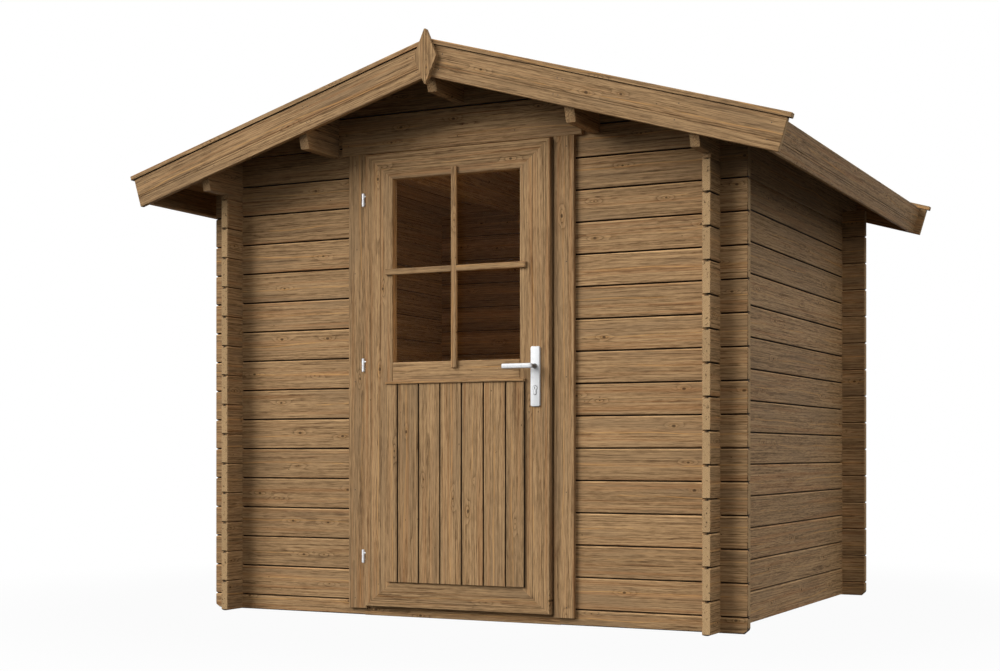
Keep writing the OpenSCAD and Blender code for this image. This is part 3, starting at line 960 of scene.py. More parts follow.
@dataclass
class LogWalls:
    """Four walls of interlocked logs, with the gables over the front and back.

    Attributes:
        layout: The shed's sizes.
        bevel: Width of the bevel along a log's outer edges.
        gap: Half the open joint between two logs.
        wear_and_highlight: How much paler the upper bevel is painted: a painted highlight where it catches
            the light.
        rim: Width over which that fades out.
        tongue: Half the width of the tongue between two logs.
        foot: How far the half logs on the ground are cut away at their tips.
        end_bevel: Width of the bevel round a log's tip.
        inner_joint_shade: Painted shade in the joints on the inside.
        clearance: Height of the tongue's upper edge.
        sill_ease: Width taken off the corners of the door sill.
        least_row: A row of the gable lower than this is left out.
        least_log: A stretch of a row lower than this is left out.
    """

    layout: Layout
    bevel: float = 0.0035
    gap: float = 0.0025
    wear_and_highlight: float = 0.50
    rim: float = 0.0015
    tongue: float = 0.005
    foot: float = 0.017
    end_bevel: float = 0.0035
    inner_joint_shade: float = 0.6
    clearance: float = 0.0006
    sill_ease: float = 0.003
    least_row: float = 0.01
    least_log: float = 0.002

    def section(self, height: float) -> Outline:
        """Gives a log's section: bevelled outside, tighter inside, with a tongue between.

        Args:
            height: The log's height.

        Returns:
            The outline.
        """
        quarter = self.layout.log_h / 4
        upper = max(height - quarter, quarter)
        outer = self.side(height, quarter, upper, self.gap, 1.0)
        inner = self.side(height, quarter, upper, self.gap / 2, self.inner_joint_shade)
        return outer + [(-w, v, *groove) for w, v, *groove in reversed(inner)]

    def side(self, height: float, lower: float, upper: float, gap: float, dark: float) -> Outline:
        """One side of the section.

        Args:
            height: The log's height.
            lower: Where the upright face may be cut from below.
            upper: Where it may be cut from above.
            gap: Half the open joint.
            dark: Painted shade in the joint.

        Returns:
            Its points from the bottom up.
        """
        half = self.layout.log_t / 2
        flat = half - self.bevel
        # Painted shade at the joint's corners and a painted highlight on the upper bevel.
        return [
            (self.tongue, 0.0, dark),
            (flat, gap, dark),
            (half, gap + self.bevel * 0.6),
            (half, lower),
            (half, upper),
            (half, height - gap - self.bevel - self.rim),
            (half, height - gap - self.bevel, -self.wear_and_highlight),
            (flat, height - gap, -self.wear_and_highlight),
            (self.tongue, height - self.clearance, dark),
            (self.tongue, height, dark),
        ]

    def end(self, at: float, inwards: int, height: float, footed: bool) -> list[Cut]:
        """Cuts of a log's free end, from its tip inwards.

        Args:
            at: Where the tip is.
            inwards: 1 if the log runs on towards higher values, else -1.
            height: The log's height.
            footed: Whether the lower corner is cut away, as on the half logs on the ground.

        Returns:
            The cuts in order from the tip.
        """
        ease = self.end_bevel
        rise = self.foot if footed else 0.0
        margin = self.gap + ease * 0.75
        cuts = [Cut(at, low=rise + margin, high=height - margin, inset=ease)]
        cuts.append(Cut(at + inwards * ease, low=rise - ease if footed else -math.inf))
        if footed:
            cuts.append(Cut(at + inwards * rise))
        return cuts

    def log(
        self, pile: Timber, start: float, end: float, height: float, place: Matrix,
        crossings: Sequence[float] = (), keep: Pair = (0.0, 1.0),
        free: tuple[bool, bool] = (True, True), footed: bool = False,
    ) -> None:
        """Adds a log with its notches.

        Args:
            pile: Where it goes.
            start: Its first end.
            end: Its other end.
            height: Its height.
            place: Carries it to its wall.
            crossings: Middles of the logs that cross it.
            keep: Lower and upper limit of what is left of it at a crossing.
            free: Whether each end stands free.
            footed: Whether its free ends are cut away below.
        """
        half = self.layout.log_t / 2
        cuts = self.end(start, 1, height, footed) if free[0] else [Cut(start)]
        for middle in crossings:
            for side, notched in ((-half, False), (-half, True), (half, True), (half, False)):
                limits = {"low": keep[0], "high": keep[1]} if notched else {}
                cuts.append(Cut(middle + side, **limits))
        cuts += self.end(end, -1, height, footed)[::-1] if free[1] else [Cut(end)]
        pile.board(self.section(height), cuts, place)

    def cross_rows(self) -> list[Pair]:
        """Lower and upper edge of each row in the front and back walls, which start with half a log."""
        rise = self.layout.log_h
        return [(0.0, rise / 2)] + [((k + 0.5) * rise, (k + 1.5) * rise) for k in range(self.layout.rows)]

    def cross_wall(
        self, pile: Timber, start: float, end: float, turn: Matrix, free: tuple[bool, bool]
    ) -> None:
        """Adds the rows of a stretch of the front wall.

        Args:
            pile: Where they go.
            start: Where the stretch starts.
            end: Where it ends.
            turn: Carries it to its place.
            free: Whether each end stands free.
        """
        layout = self.layout
        quarter = layout.log_h / 4
        corner = layout.half_w - layout.log_t / 2
        for low, high in self.cross_rows():
            place = turn @ axes(Vector((0.0, layout.log_t / 2 - layout.half_d, low)), RIGHT, UP)
            height = high - low
            first = low == 0.0
            keep = (0.0, quarter) if first else (quarter, height - quarter)
            crossings = [x for x in (-corner, corner) if start < x < end]
            self.log(pile, start, end, height, place, crossings, keep, free, first)

    def side_wall(self, name: str, turn: Matrix, seed: int) -> None:
        """Makes one of the side walls.

        Args:
            name: The construction node.
            turn: Carries the right wall to its place.
            seed: The pile's seed.
        """
        layout = self.layout
        quarter = layout.log_h / 4
        corner = layout.half_d - layout.log_t / 2
        reach = layout.half_d + layout.log_end
        pile = Timber(seed)
        for row in range(layout.rows):
            x = layout.half_w - layout.log_t / 2
            place = turn @ axes(Vector((x, 0.0, row * layout.log_h)), BACK, UP)
            keep = (quarter, layout.log_h - quarter)
            self.log(pile, -reach, reach, layout.log_h, place, (-corner, corner), keep)
        pile.show(f"{name}_logs", "shed", [name], "log_wood", Finish.LOG)

    def gable(self, name: str, turn: Matrix, doorway: Pair | None, seed: int) -> None:
        """Makes the triangle of logs under the roof, notched for the purlins.

        Args:
            name: The construction node.
            turn: Carries the front gable to its place.
            doorway: Half width and top of the opening cut into it, if there is one.
            seed: The pile's seed.
        """
        layout = self.layout
        pile = Timber(seed)
        base = layout.wall_top
        slope = math.tan(layout.pitch)
        wide = layout.purlin_w / 2
        while base < layout.ridge - self.least_row:
            top = min(base + layout.log_h, layout.ridge)
            reach = min((layout.ridge - base) / slope, layout.inner_x)
            marks = {0.0, (layout.ridge - top) / slope, reach}
            marks |= {layout.purlin_x - wide, layout.purlin_x + wide, wide}
            if doorway and base < doorway[1]:
                marks.add(doorway[0])
            steps = sorted({s * m for m in marks for s in (-1, 1) if m <= reach})
            self._gable_row(pile, base, top, steps, turn, doorway)
            base = top
        pile.show(f"{name}_logs", "shed", [name], "log_wood", Finish.LOG)

    def _gable_row(
        self, pile: Timber, base: float, top: float, steps: Sequence[float], turn: Matrix,
        doorway: Pair | None,
    ) -> None:
        """Adds one row of a gable, split where a purlin passes right through it.

        Args:
            pile: Where it goes.
            base: Its lower edge.
            top: Its upper edge.
            steps: Where its outline may change, from left to right.
            turn: Carries the front gable to its place.
            doorway: Half width and top of the opening cut into it, if there is one.
        """
        layout = self.layout
        place = turn @ axes(Vector((0.0, layout.log_t / 2 - layout.half_d, base)), RIGHT, UP)

        def limits(x: float, inside: float) -> Pair:
            """Finds how much of the row is left.

            Args:
                x: Where.
                inside: A place in the stretch that is looked at.

            Returns:
                Its lower and upper limit, from the base.
            """
            low, high = 0.0, min(layout.roof_z(x), top)
            for middle in (-layout.purlin_x, 0.0, layout.purlin_x):
                if abs(inside - middle) < layout.purlin_w / 2:
                    high = min(high, layout.roof_z(middle) - layout.purlin_h)
            if doorway and abs(inside) < doorway[0]:
                low = max(low, doorway[1] - base)
            return low, high - base

        run: list[Cut] = []
        section = self.section(layout.log_h)
        for one, two in zip(steps, steps[1:]):
            middle = (one + two) / 2
            ends = [limits(one, middle), limits(two, middle)]
            if max(high - low for low, high in ends) < self.least_log:
                if run:
                    pile.board(section, run, place)
                run = []
                continue
            run += [Cut(x, low=low, high=max(high, low)) for x, (low, high) in zip((one, two), ends)]
        if run:
            pile.board(section, run, place)

    def build(self) -> None:
        """Makes every wall."""
        layout = self.layout
        reach = layout.half_w + layout.log_end
        jamb_x = span("door_jambs")[1].x
        jamb_top = span("door_jambs")[1].z
        for name, start, end, free, turn, seed in (
            ("front_wall_left", -reach, -jamb_x, (True, False), Matrix(), 11),
            ("front_wall_right", jamb_x, reach, (False, True), Matrix(), 12),
            ("back_wall", -reach, reach, (True, True), MIRROR_Y, 13),
        ):
            pile = Timber(seed)
            self.cross_wall(pile, start, end, turn, free)
            pile.show(f"{name}_logs", "shed", [name], "log_wood", Finish.LOG)
        self.side_wall("left_wall", MIRROR_X, 14)
        self.side_wall("right_wall", Matrix(), 15)
        self.gable("front_gable", Matrix(), (jamb_x, jamb_top), 16)
        self.gable("back_gable", MIRROR_Y, None, 17)
        pile = Timber(18)
        sill_low, sill_high = span("front_sill_log")
        place = axes(Vector((0.0, -layout.inner_y, 0.0)), RIGHT, UP)
        section = plank(0.0, sill_high.z, layout.log_t, self.sill_ease)
        pile.board(section, [Cut(sill_low.x), Cut(sill_high.x)], place)
        pile.show("front_sill", "shed", ["front_sill_log"], "log_wood", Finish.LOG)


# ------------------------------------------------------------------ roof


@dataclass
class Roof:
    """Purlins, boards, barge boards, fascias, capping strips and finials.

    Attributes:
        layout: The shed's sizes.
        board_w: Width of a roof board.
        groove_w: Width of a planed groove.
        groove_d: Depth of a planed groove.
        groove_gap: Distance between the two grooves.
        groove_at: Share of a barge board's height above the upper groove.
        groove_shade: Painted shade in the upper and the lower groove.
        joint: Depth of the V joint between two roof boards.
        shut: Half the gap at the bottom of that joint.
        ease: Width taken off the trim's corners.
        purlin_ease: Width taken off a purlin's lower corners.
        cap_lift: Clearance under a capping strip.
        finial_lines: Where a finial's grooves run, from its middle.
        finial_shade: Painted shade in them.
        blunt: Half the width of a finial's tip.
    """

    layout: Layout
    board_w: float = 0.098
    groove_w: float = 0.0036
    groove_d: float = 0.0016
    groove_gap: float = 0.0085
    groove_at: float = 0.6
    groove_shade: Pair = (0.45, 0.35)
    joint: float = 0.0040
    shut: float = 0.0001
    ease: float = 0.002
    purlin_ease: float = 0.003
    cap_lift: float = 0.0004
    finial_lines: Pair = (-0.006, 0.006)
    finial_shade: float = 0.4
    blunt: float = 0.003

    def purlins(self) -> None:
        """Makes the ridge purlin and the middle purlins, whose tops follow the roof."""
        layout = self.layout
        for name, middles, seed in (
            ("ridge_purlin", (0.0,), 21),
            ("mid_purlins", (-layout.purlin_x, layout.purlin_x), 22),
        ):
            pile = Timber(seed)
            for x in middles:
                half = layout.purlin_w / 2
                base = layout.roof_z(x) - layout.purlin_h
                under = base + layout.seat
                ease = self.purlin_ease
                section = [(ease - half, 0.0), (half - ease, 0.0), (half, ease)]
                section.append((half, layout.roof_z(x + half) - under))
                if x == 0.0:
                    section.append((0.0, layout.purlin_h - layout.seat))
                section += [(-half, layout.roof_z(x - half) - under), (-half, ease)]
                place = axes(Vector((x, 0.0, base)), BACK, UP)
                pile.board(section, self.purlin_cuts(0.0), place)
            pile.show(f"{name}_beams", "shed", [name], "log_wood", Finish.LOG)

    def purlin_cuts(self, lift: float) -> list[Cut]:
        """Gives the cuts from one tip of a purlin to the other, slanted below.

        Args:
            lift: Height of its lower edge between the tips.

        Returns:
            The cuts in order.
        """
        tip = self.layout.barge_back
        cut = self.layout.purlin_cut
        nose = [Cut(-tip, low=lift + 3 * cut), Cut(-tip + cut, low=lift)]
        return nose + [Cut(-c.along, low=c.low) for c in reversed(nose)]

    def eave_purlins(self) -> None:
        """Makes the top logs of the side walls, which run out under the roof."""
        layout = self.layout
        quarter = layout.log_h / 4
        corner = layout.half_d - layout.log_t / 2
        stop = layout.half_d + layout.log_end
        half = layout.log_t / 2
        base = layout.rows * layout.log_h
        outer = layout.roof_z(layout.half_w) - base
        inner = layout.roof_z(layout.inner_x) - base
        bevel = LogWalls.bevel
        section = [
            (bevel - half, 0.0), (half - bevel, 0.0), (half, bevel), (half, quarter), (half, outer),
            (-half, inner), (-half, quarter), (-half, bevel),
        ]
        first = self.purlin_cuts(layout.eave_step)[:2]
        first += [Cut(-stop, low=layout.eave_step), Cut(-stop)]
        first += [Cut(-corner - half), Cut(-corner - half, low=quarter)]
        first += [Cut(-corner + half, low=quarter), Cut(-corner + half)]
        cuts = first + [Cut(-c.along, low=c.low) for c in reversed(first)]
        sides = (("left_eave_purlin", MIRROR_X, 24), ("right_eave_purlin", Matrix(), 23))
        for name, mirror, seed in sides:
            pile = Timber(seed)
            place = mirror @ axes(Vector((layout.half_w - half, 0.0, base)), BACK, UP)
            pile.board(section, cuts, place)
            pile.show(f"{name}_log", "shed", [name], "log_wood", Finish.LOG)

    def deck(self) -> None:
        """Makes both slopes of boards, which run from front to back."""
        layout = self.layout
        fascia_in = self.fascia_s - self.barge_t
        count = round(fascia_in / self.board_w)
        width = fascia_in / count
        lean = math.tan(layout.pitch)
        for name, mirror, seed in (("left_roof_deck", MIRROR_X, 31), ("right_roof_deck", Matrix(), 32)):
            pile = Timber(seed)
            place = mirror @ axes(layout.top, -BACK, layout.down)
            for k in range(count):
                section = self.deck_section(k * width, (k + 1) * width)
                if k == 0:
                    section = [
                        (w, v - w * lean if v < width / 2 else v, *groove) for w, v, *groove in section
                    ]
                pile.board(section, [Cut(-layout.barge_back), Cut(layout.barge_back)], place)
            pile.show(f"{name}_boards", "shed", [name], "roof_wood", Finish.ROOF)

    def deck_section(self, low: float, high: float) -> Outline:
        """Gives the section of a roof board, with a V joint on both faces.

        Args:
            low: Its upper edge's distance from the ridge.
            high: Its lower edge's distance from the ridge.

        Returns:
            The outline.
        """
        thick, joint, shut = self.layout.roof_t, self.joint, self.shut
        # Painted shade in the V joints between roof boards.
        edge = [(0.0, joint), (joint, shut, 1.0), (thick - joint, shut, 1.0), (thick, joint)]
        upper = [(w, high - v, *groove) for w, v, *groove in reversed(edge)]
        return [(w, low + v, *groove) for w, v, *groove in edge] + upper

    @property
    def barge_t(self) -> float:
        """Thickness of the barge boards and fascias."""
        return self.layout.barge_face - self.layout.barge_back

    @property
    def fascia_s(self) -> float:
        """Distance from the ridge to the fascias' outer face, down the slope."""
        layout = self.layout
        return (span("fascias")[1].x - layout.roof_t * math.sin(layout.pitch)) / math.cos(layout.pitch)

    def verge_section(self) -> Outline:
        """Gives the section of a barge board or fascia, with its two planed grooves.

        Returns:
            The outline.
        """
        layout = self.layout
        at = layout.roof_t - self.groove_at * layout.barge_h
        places = zip((at, at - self.groove_gap), self.groove_shade)
        lines = [(height, self.groove_w, self.groove_d, dark) for height, dark in places]
        return plank(layout.roof_t - layout.barge_h, layout.roof_t, self.barge_t, self.ease, lines)

    def verges(self) -> None:
        """Makes the barge boards and the capping strips along them."""
        layout = self.layout
        mitre = -math.tan(layout.pitch)
        cap_low, cap_high = span("front_right_capping")
        cap_t = (cap_high.z - layout.ridge) * math.cos(layout.pitch) - layout.roof_t
        cap_w = cap_high.y - cap_low.y
        cap_end = (cap_high.x - (layout.roof_t + cap_t) * math.sin(layout.pitch)) / math.cos(layout.pitch)
        board = axes(layout.top - BACK * layout.barge_back, layout.down, layout.out)
        strip = axes(Vector((0.0, cap_high.y, layout.ridge)), layout.down, layout.out)
        cap = plank(layout.roof_t + self.cap_lift, layout.roof_t + cap_t, cap_w, self.ease)
        # Painted shade along the capping strip's underside, over the barge board.
        cap[1:3] = [(*corner[:2], 1.0) for corner in cap[1:3]]
        end = self.ease
        low = layout.roof_t - layout.barge_h
        board_cuts = [Cut(0.0, slant=mitre), Cut(layout.slope_l - end)]
        board_cuts.append(Cut(layout.slope_l, inset=end, low=low + end, high=layout.roof_t - end))
        cap_cuts = [Cut(0.0, slant=mitre), Cut(cap_end - end)]
        cap_cuts.append(Cut(cap_end, inset=end, low=layout.roof_t + end, high=layout.roof_t + cap_t - end))
        kinds = (
            ("barge", "board", 0, self.verge_section(), board_cuts, board),
            ("capping", "strip", 10, cap, cap_cuts, strip),
        )
        for corner, turn, seed in (
            ("front_right", Matrix(), 41),
            ("front_left", MIRROR_X, 42),
            ("back_right", MIRROR_Y, 43),
            ("back_left", MIRROR_Y @ MIRROR_X, 44),
        ):
            for kind, noun, further, section, cuts, place in kinds:
                pile = Timber(seed + further)
                pile.board(section, cuts, turn @ place)
                node = f"{corner}_{kind}"
                pile.show(f"{node}_{noun}", "shed", [node], "trim_wood", Finish.TRIM)

    def fascias(self) -> None:
        """Makes the boards along both eaves."""
        layout = self.layout
        inner = layout.top + layout.down * (self.fascia_s - self.barge_t)
        pile = Timber(61)
        for mirror in (Matrix(), MIRROR_X):
            place = mirror @ axes(inner, BACK, layout.out)
            pile.board(self.verge_section(), [Cut(-layout.barge_back), Cut(layout.barge_back)], place)
        pile.show("eave_fascias", "shed", ["fascias"], "trim_wood", Finish.TRIM)

    def finials(self) -> None:
        """Makes the diamond that covers the mitre at each end of the ridge."""
        low, high = span("finials")
        half = high.x
        thick = -low.y - self.layout.barge_face
        middle = (low.z + high.z) / 2
        lines = [(at, self.groove_w, self.groove_d, self.finial_shade) for at in self.finial_lines]
        section = plank(-half, half, thick, self.ease, lines)
        rise = (high.z - low.z) / 2
        blunt = self.blunt
        widths = sorted({blunt} | {abs(v) for _, v, *_ in section if abs(v) > blunt})
        falling = [Cut(middle + (half - w) / (half - blunt) * rise, -w, w) for w in widths]
        cuts = [Cut(2 * middle - c.along, c.low, c.high) for c in falling] + falling[-2::-1]
        pile = Timber(62)
        place = axes(Vector((0.0, -self.layout.barge_face, 0.0)), UP, -RIGHT)
        for turn in (Matrix(), MIRROR_Y):
            pile.board(section, cuts, turn @ place)
        pile.show("ridge_finials", "shed", ["finials"], "trim_wood", Finish.TRIM)

    def build(self) -> None:
        """Makes the whole roof."""
        self.purlins()
        self.eave_purlins()
        self.deck()
        self.verges()
        self.fascias()
        self.finials()


# ------------------------------------------------------------------ floor


@dataclass
class Floor:
    """Boards on bearers, inside the walls."""

    layout: Layout
    bearers: int = 5
    bearer_w: float = 0.045
    board_w: float = 0.112
    gap: float = 0.0004
    ease: float = 0.0015

    def build(self) -> None:
        """Makes the bearers and the boards."""
        low, high = span("floor_bearers")
        pile = Timber(71)
        step = (high.y - low.y - self.bearer_w) / (self.bearers - 1)
        for k in range(self.bearers):
            place = axes(Vector((0.0, low.y + self.bearer_w + k * step, 0.0)), RIGHT, UP)
            section = plank(0.0, high.z, self.bearer_w, self.ease)
            pile.board(section, square_cuts(low.x, high.x), place)
        pile.show("floor_joists", "shed", ["floor_bearers"], "floor_wood", Finish.FLOOR)
        low, high = span("floor_boards")
        pile = Timber(72)
        count = round((high.x - low.x) / self.board_w)
        width = (high.x - low.x) / count
        for k in range(count):
            place = axes(Vector((low.x + (k + 0.5) * width, 0.0, low.z)), -BACK, RIGHT)
            half = width / 2 - self.gap
            section = plank(-half, half, high.z - low.z, self.ease)
            pile.board(section, [Cut(low.y), Cut(high.y)], place)
        pile.show("floor_planks", "shed", ["floor_boards"], "floor_wood", Finish.FLOOR)


# ------------------------------------------------------------------ doorway


@dataclass
class Doorway:
    """Jambs, head, threshold and the casings inside and out."""

    layout: Layout
    ease: float = 0.002

    def upright(self, pile: Timber, x: Pair, y: Pair, z: Pair) -> None:
        """Adds a board that stands on end, its face towards the front.

        Args:
            pile: Where it goes.
            x: Its left and right edge.
            y: Its front and back.
            z: Its foot and top.
        """
        place = axes(Vector(((x[0] + x[1]) / 2, y[1], 0.0)), UP, -RIGHT)
        half = (x[1] - x[0]) / 2
        pile.board(plank(-half, half, y[1] - y[0], self.ease), square_cuts(*z), place)

    def level(self, pile: Timber, x: Pair, y: Pair, z: Pair) -> None:
        """Adds a board that lies level along the front.

        Args:
            pile: Where it goes.
            x: Its left and right end.
            y: Its front and back.
            z: Its lower and upper edge.
        """
        place = axes(Vector((0.0, y[1], (z[0] + z[1]) / 2)), RIGHT, UP)
        half = (z[1] - z[0]) / 2
        pile.board(plank(-half, half, y[1] - y[0], self.ease), square_cuts(*x), place)

    def build(self) -> None:
        """Makes the frame of the doorway."""
        low, high = span("door_jambs")
        opening = span("door_head")[1].x
        outer_edge = span("side_casings")[1].x
        inner_edge = span("inner_side_casings")[1].x
        width = inner_edge - opening
        pile = Timber(81)
        for x in ((-high.x, -opening), (opening, high.x)):
            self.upright(pile, x, (low.y, high.y), (low.z, high.z))
        pile.show("jamb_posts", "shed", ["door_jambs"], "trim_wood", Finish.TRIM)
        for node, name, seed in (
            ("door_head", "head_board", 82),
            ("door_threshold", "threshold_board", 83),
            ("head_casing", "head_casing_board", 84),
            ("inner_head_casing", "inner_head_board", 85),
        ):
            low, high = span(node)
            pile = Timber(seed)
            self.level(pile, (low.x, high.x), (low.y, high.y), (low.z, high.z))
            pile.show(name, "shed", [node], "trim_wood", Finish.DOOR)
        for node, name, edge, seed in (
            ("side_casings", "side_casing_boards", outer_edge, 86),
            ("inner_side_casings", "inner_casing_boards", inner_edge, 87),
        ):
            low, high = span(node)
            pile = Timber(seed)
            for x in ((-edge, width - edge), (edge - width, edge)):
                self.upright(pile, x, (low.y, high.y), (low.z, high.z))
            pile.show(name, "shed", [node], "trim_wood", Finish.DOOR)


# ------------------------------------------------------------------ door leaf


@dataclass
class DoorLeaf:
    """The leaf: a mitred frame, glass with its bars above and boards below."""

    layout: Layout
    ease: float = 0.0025
    mould_at: Pair = (0.21, 0.57)
    mould_w: float = 0.004
    mould_d: float = 0.0012
    mould_shade: float = 0.5
    pane_ease: float = 0.0005
    bar_w: float = 0.023
    bar_lap: float = 0.002
    bar_step: float = 0.0006
    cross_drop: float = 0.005
    first_board: float = 0.052
    board_w: float = 0.094
    joint: float = 0.0017
    rear_joint: float = 0.0001
    rear_gap: float = 0.0002
    rear_ease: float = 0.004
    least_board: float = 0.02
    drip_ease: float = 0.002
    drip_fall: float = 0.003

    def mouldings(self, width: float) -> list[tuple[float, float, float, float]]:
        """Grooves of the frame's moulding across a member of that width, with painted shade in them."""
        return [(share * width, self.mould_w, self.mould_d, self.mould_shade) for share in self.mould_at]

    def frame(self) -> None:
        """Makes the stiles and rails, which meet in mitres."""
        stile_low, stile_high = span("right_stile")
        back, thick = stile_high.y, stile_high.y - stile_low.y
        width = stile_high.x - stile_low.x
        top = stile_high.z - span("top_rail")[0].z
        foot = span("bottom_rail")[1].z - stile_low.z
        section = plank(0.0, width, thick, self.ease, self.mouldings(width))
        cuts = [Cut(stile_low.z, slant=foot / width), Cut(stile_high.z, slant=-top / width)]
        place = axes(Vector((stile_high.x, back, 0.0)), UP, -RIGHT)
        for node, turn, seed in (("left_stile", MIRROR_X, 91), ("right_stile", Matrix(), 92)):
            pile = Timber(seed)
            pile.board(section, cuts, turn @ place)
            pile.show(f"{node}_board", "door", [node], "door_wood", Finish.DOOR)
        for node, height, place, seed in (
            ("top_rail", top, axes(Vector((0.0, back, stile_high.z)), -RIGHT, -UP), 93),
            ("bottom_rail", foot, axes(Vector((0.0, back, stile_low.z)), RIGHT, UP), 94),
        ):
            reach = stile_high.x
            pile = Timber(seed)
            section = plank(0.0, height, thick, self.ease, self.mouldings(height))
            cuts = [Cut(-reach, slant=width / height), Cut(reach, slant=-width / height)]
            pile.board(section, cuts, place)
            pile.show(f"{node}_board", "door", [node], "door_wood", Finish.DOOR)
        low, high = span("mid_rail")
        pile = Timber(95)
        section = plank(low.z, high.z, thick, self.ease)
        place = axes(Vector((0.0, back, 0.0)), RIGHT, UP)
        pile.board(section, square_cuts(low.x, high.x, self.ease), place)
        pile.show("mid_rail_board", "door", ["mid_rail"], "door_wood", Finish.DOOR)

    def window(self) -> None:
        """Makes the pane and the cross of bars planted over it."""
        low, high = span("door_glass")
        pane = Timber(96)
        place = axes(Vector((0.0, high.y, 0.0)), RIGHT, UP)
        section = plank(low.z, high.z, high.y - low.y, self.pane_ease)
        pane.board(section, [Cut(low.x), Cut(high.x)], place)
        glass = [Glass("clear_glass").make()]
        show("window_pane", pane.points, pane.faces, glass, "door", ["door_glass"])
        bar_low, bar_high = span("glazing_bars")
        thick = bar_high.y - bar_low.y
        half = self.bar_w / 2
        middle = (low.z + high.z) / 2 - self.cross_drop
        pile = Timber(97)
        section = plank(-half, half, thick, self.ease)
        cuts = square_cuts(bar_low.z, bar_high.z)
        pile.board(section, cuts, axes(Vector((0.0, bar_high.y, 0.0)), UP, -RIGHT))
        place = axes(Vector((0.0, bar_high.y, middle)), RIGHT, UP)
        flat = plank(-half, half, thick - self.bar_step, self.ease)
        for start, end in ((bar_low.x, self.bar_lap - half), (half - self.bar_lap, bar_high.x)):
            pile.board(flat, square_cuts(start, end), place)
        pile.show("window_bars", "door", ["glazing_bars"], "door_wood", Finish.DOOR)

    def panel(self) -> None:
        """Makes the upright boards below the window and the drip strip over them."""
        low, high = span("door_panel")
        leaf_face = span("right_stile")[0].y
        edges = [low.x]
        edge = low.x + self.first_board
        while edge < high.x - self.board_w / 2:
            edges.append(edge)
            edge += self.board_w
        edges.append(high.x)
        pile = Timber(98)
        for one, two in zip(edges, edges[1:]):
            half = (two - one) / 2 - self.joint
            place = axes(Vector(((one + two) / 2, leaf_face, 0.0)), UP, -RIGHT)
            # Painted shade in the joints between the panel boards.
            section = plank(-half, half, leaf_face - low.y, self.ease, dark=1.0)
            pile.board(section, square_cuts(low.z, high.z), place)
        foot = span("bottom_rail")[1].z
        rail = span("mid_rail")[0].z
        reach = span("right_stile")[0].x
        rear = MIRROR_Y @ axes(Vector((0.0, -leaf_face - self.rear_gap, 0.0)), UP, -RIGHT)
        limits = [-reach] + [edge for edge in edges if abs(edge) < reach - self.least_board] + [reach]
        thick = high.y - leaf_face - self.rear_gap
        for one, two in zip(limits, limits[1:]):
            left, right = self.rear_joint - two, -one - self.rear_joint
            # Painted shade in the joints at the back, with no painted highlight.
            section = plank(left, right, thick, self.rear_ease, dark=1.0, wear_and_highlight=0.0)
            pile.board(section, [Cut(foot), Cut(rail)], rear)
        pile.show("panel_boards", "door", ["door_panel"], "door_wood", Finish.DOOR)
        low, high = span("drip_strip")
        deep = high.y - low.y
        tall = high.z - low.z
        ease, fall = self.drip_ease, self.drip_fall
        section = [(0.0, 0.0), (deep - ease, 0.0), (deep, ease)]
        section += [(deep, tall - fall - ease), (deep - ease, tall - fall), (0.0, tall)]
        pile = Timber(99)
        place = axes(Vector((0.0, high.y, low.z)), RIGHT, UP)
        pile.board(section, square_cuts(low.x, high.x), place)
        pile.show("drip_moulding", "door", ["drip_strip"], "door_wood", Finish.DOOR)

    def build(self) -> None:
        """Makes the leaf."""
        self.frame()
        self.window()
        self.panel()


# ------------------------------------------------------------------ metalwork


class Casting:
    """Smooth metal bodies that become one piece, each carried through a row of rings.

    Attributes:
        SMOOTH: Faces that meet at less than this angle in degrees are shaded as one.
    """

    SMOOTH = 38

    def __init__(self) -> None:
        """Starts an empty piece."""
        self.points: list[Vector] = []
        self.faces: list[list[int]] = []

    def rings(self, rings: Sequence[Sequence[Vector]]) -> None:
        """Adds a skin over a row of rings, capped at both ends and turned to look outwards.

        Args:
            rings: The rings, with equally many points in each.
        """
        count = len(rings[0])
        base = len(self.points)
        made = []
        for ring in rings:
            self.points.extend(ring)
        for k in range(len(rings) - 1):
            for n in range(count):
                m = (n + 1) % count
                low, high = base + k * count, base + (k + 1) * count
                made.append([low + n, low + m, high + m, high + n])
        made.append([base + n for n in reversed(range(count))])
        made.append([base + (len(rings) - 1) * count + n for n in range(count)])
        inwards = volume(self.points, made) < 0
        self.faces.extend(face[::-1] if inwards else face for face in made)

    def turned(self, profile: Sequence[Pair], start: Vector, axis: Vector, steps: int = 32) -> None:
        """Adds a turned body.

        Args:
            profile: Pairs of distance along the axis and radius.
            start: Where the distance is zero.
            axis: Direction that it is turned about.
            steps: How many sides its circles have.
        """
        side = axis.orthogonal().normalized()
        other = axis.cross(side)
        circle = [2 * math.pi * k / steps for k in range(steps)]
        self.rings([
            [start + axis * at + (side * math.cos(a) + other * math.sin(a)) * radius for a in circle]
            for at, radius in profile
        ])

    def pressed(
        self, outline: Callable[[float], Outline], levels: Sequence[Pair], place: Matrix
    ) -> None:
        """Adds a flat body: its outline is drawn in by an inset at each level.

        Args:
            outline: Gives the outline for an inset.
            levels: Pairs of height above the base and inset.
            place: Carries (x, z, height) to the world.
        """
        self.rings([
            [place @ Vector((x, z, level)) for x, z in outline(inset)] for level, inset in levels
        ])

    def show(
        self, name: str, body: str, nodes: Sequence[str], slot: str, finish: Metal
    ) -> bpy.types.Object:
        """Makes the piece, smooth where its faces meet at a small angle.

        Args:
            name: The piece's name.
            body: The body that it moves with.
            nodes: The construction nodes that it stands for.
            finish: The metal that it is made of.

        Returns:
            The piece.
        """
        piece = show(name, self.points, self.faces, [finish.make()], body, nodes)
        piece.data.polygons.foreach_set("use_smooth", [True] * len(self.faces))
        piece.data.set_sharp_from_angle(angle=math.radians(self.SMOOTH))
        return piece


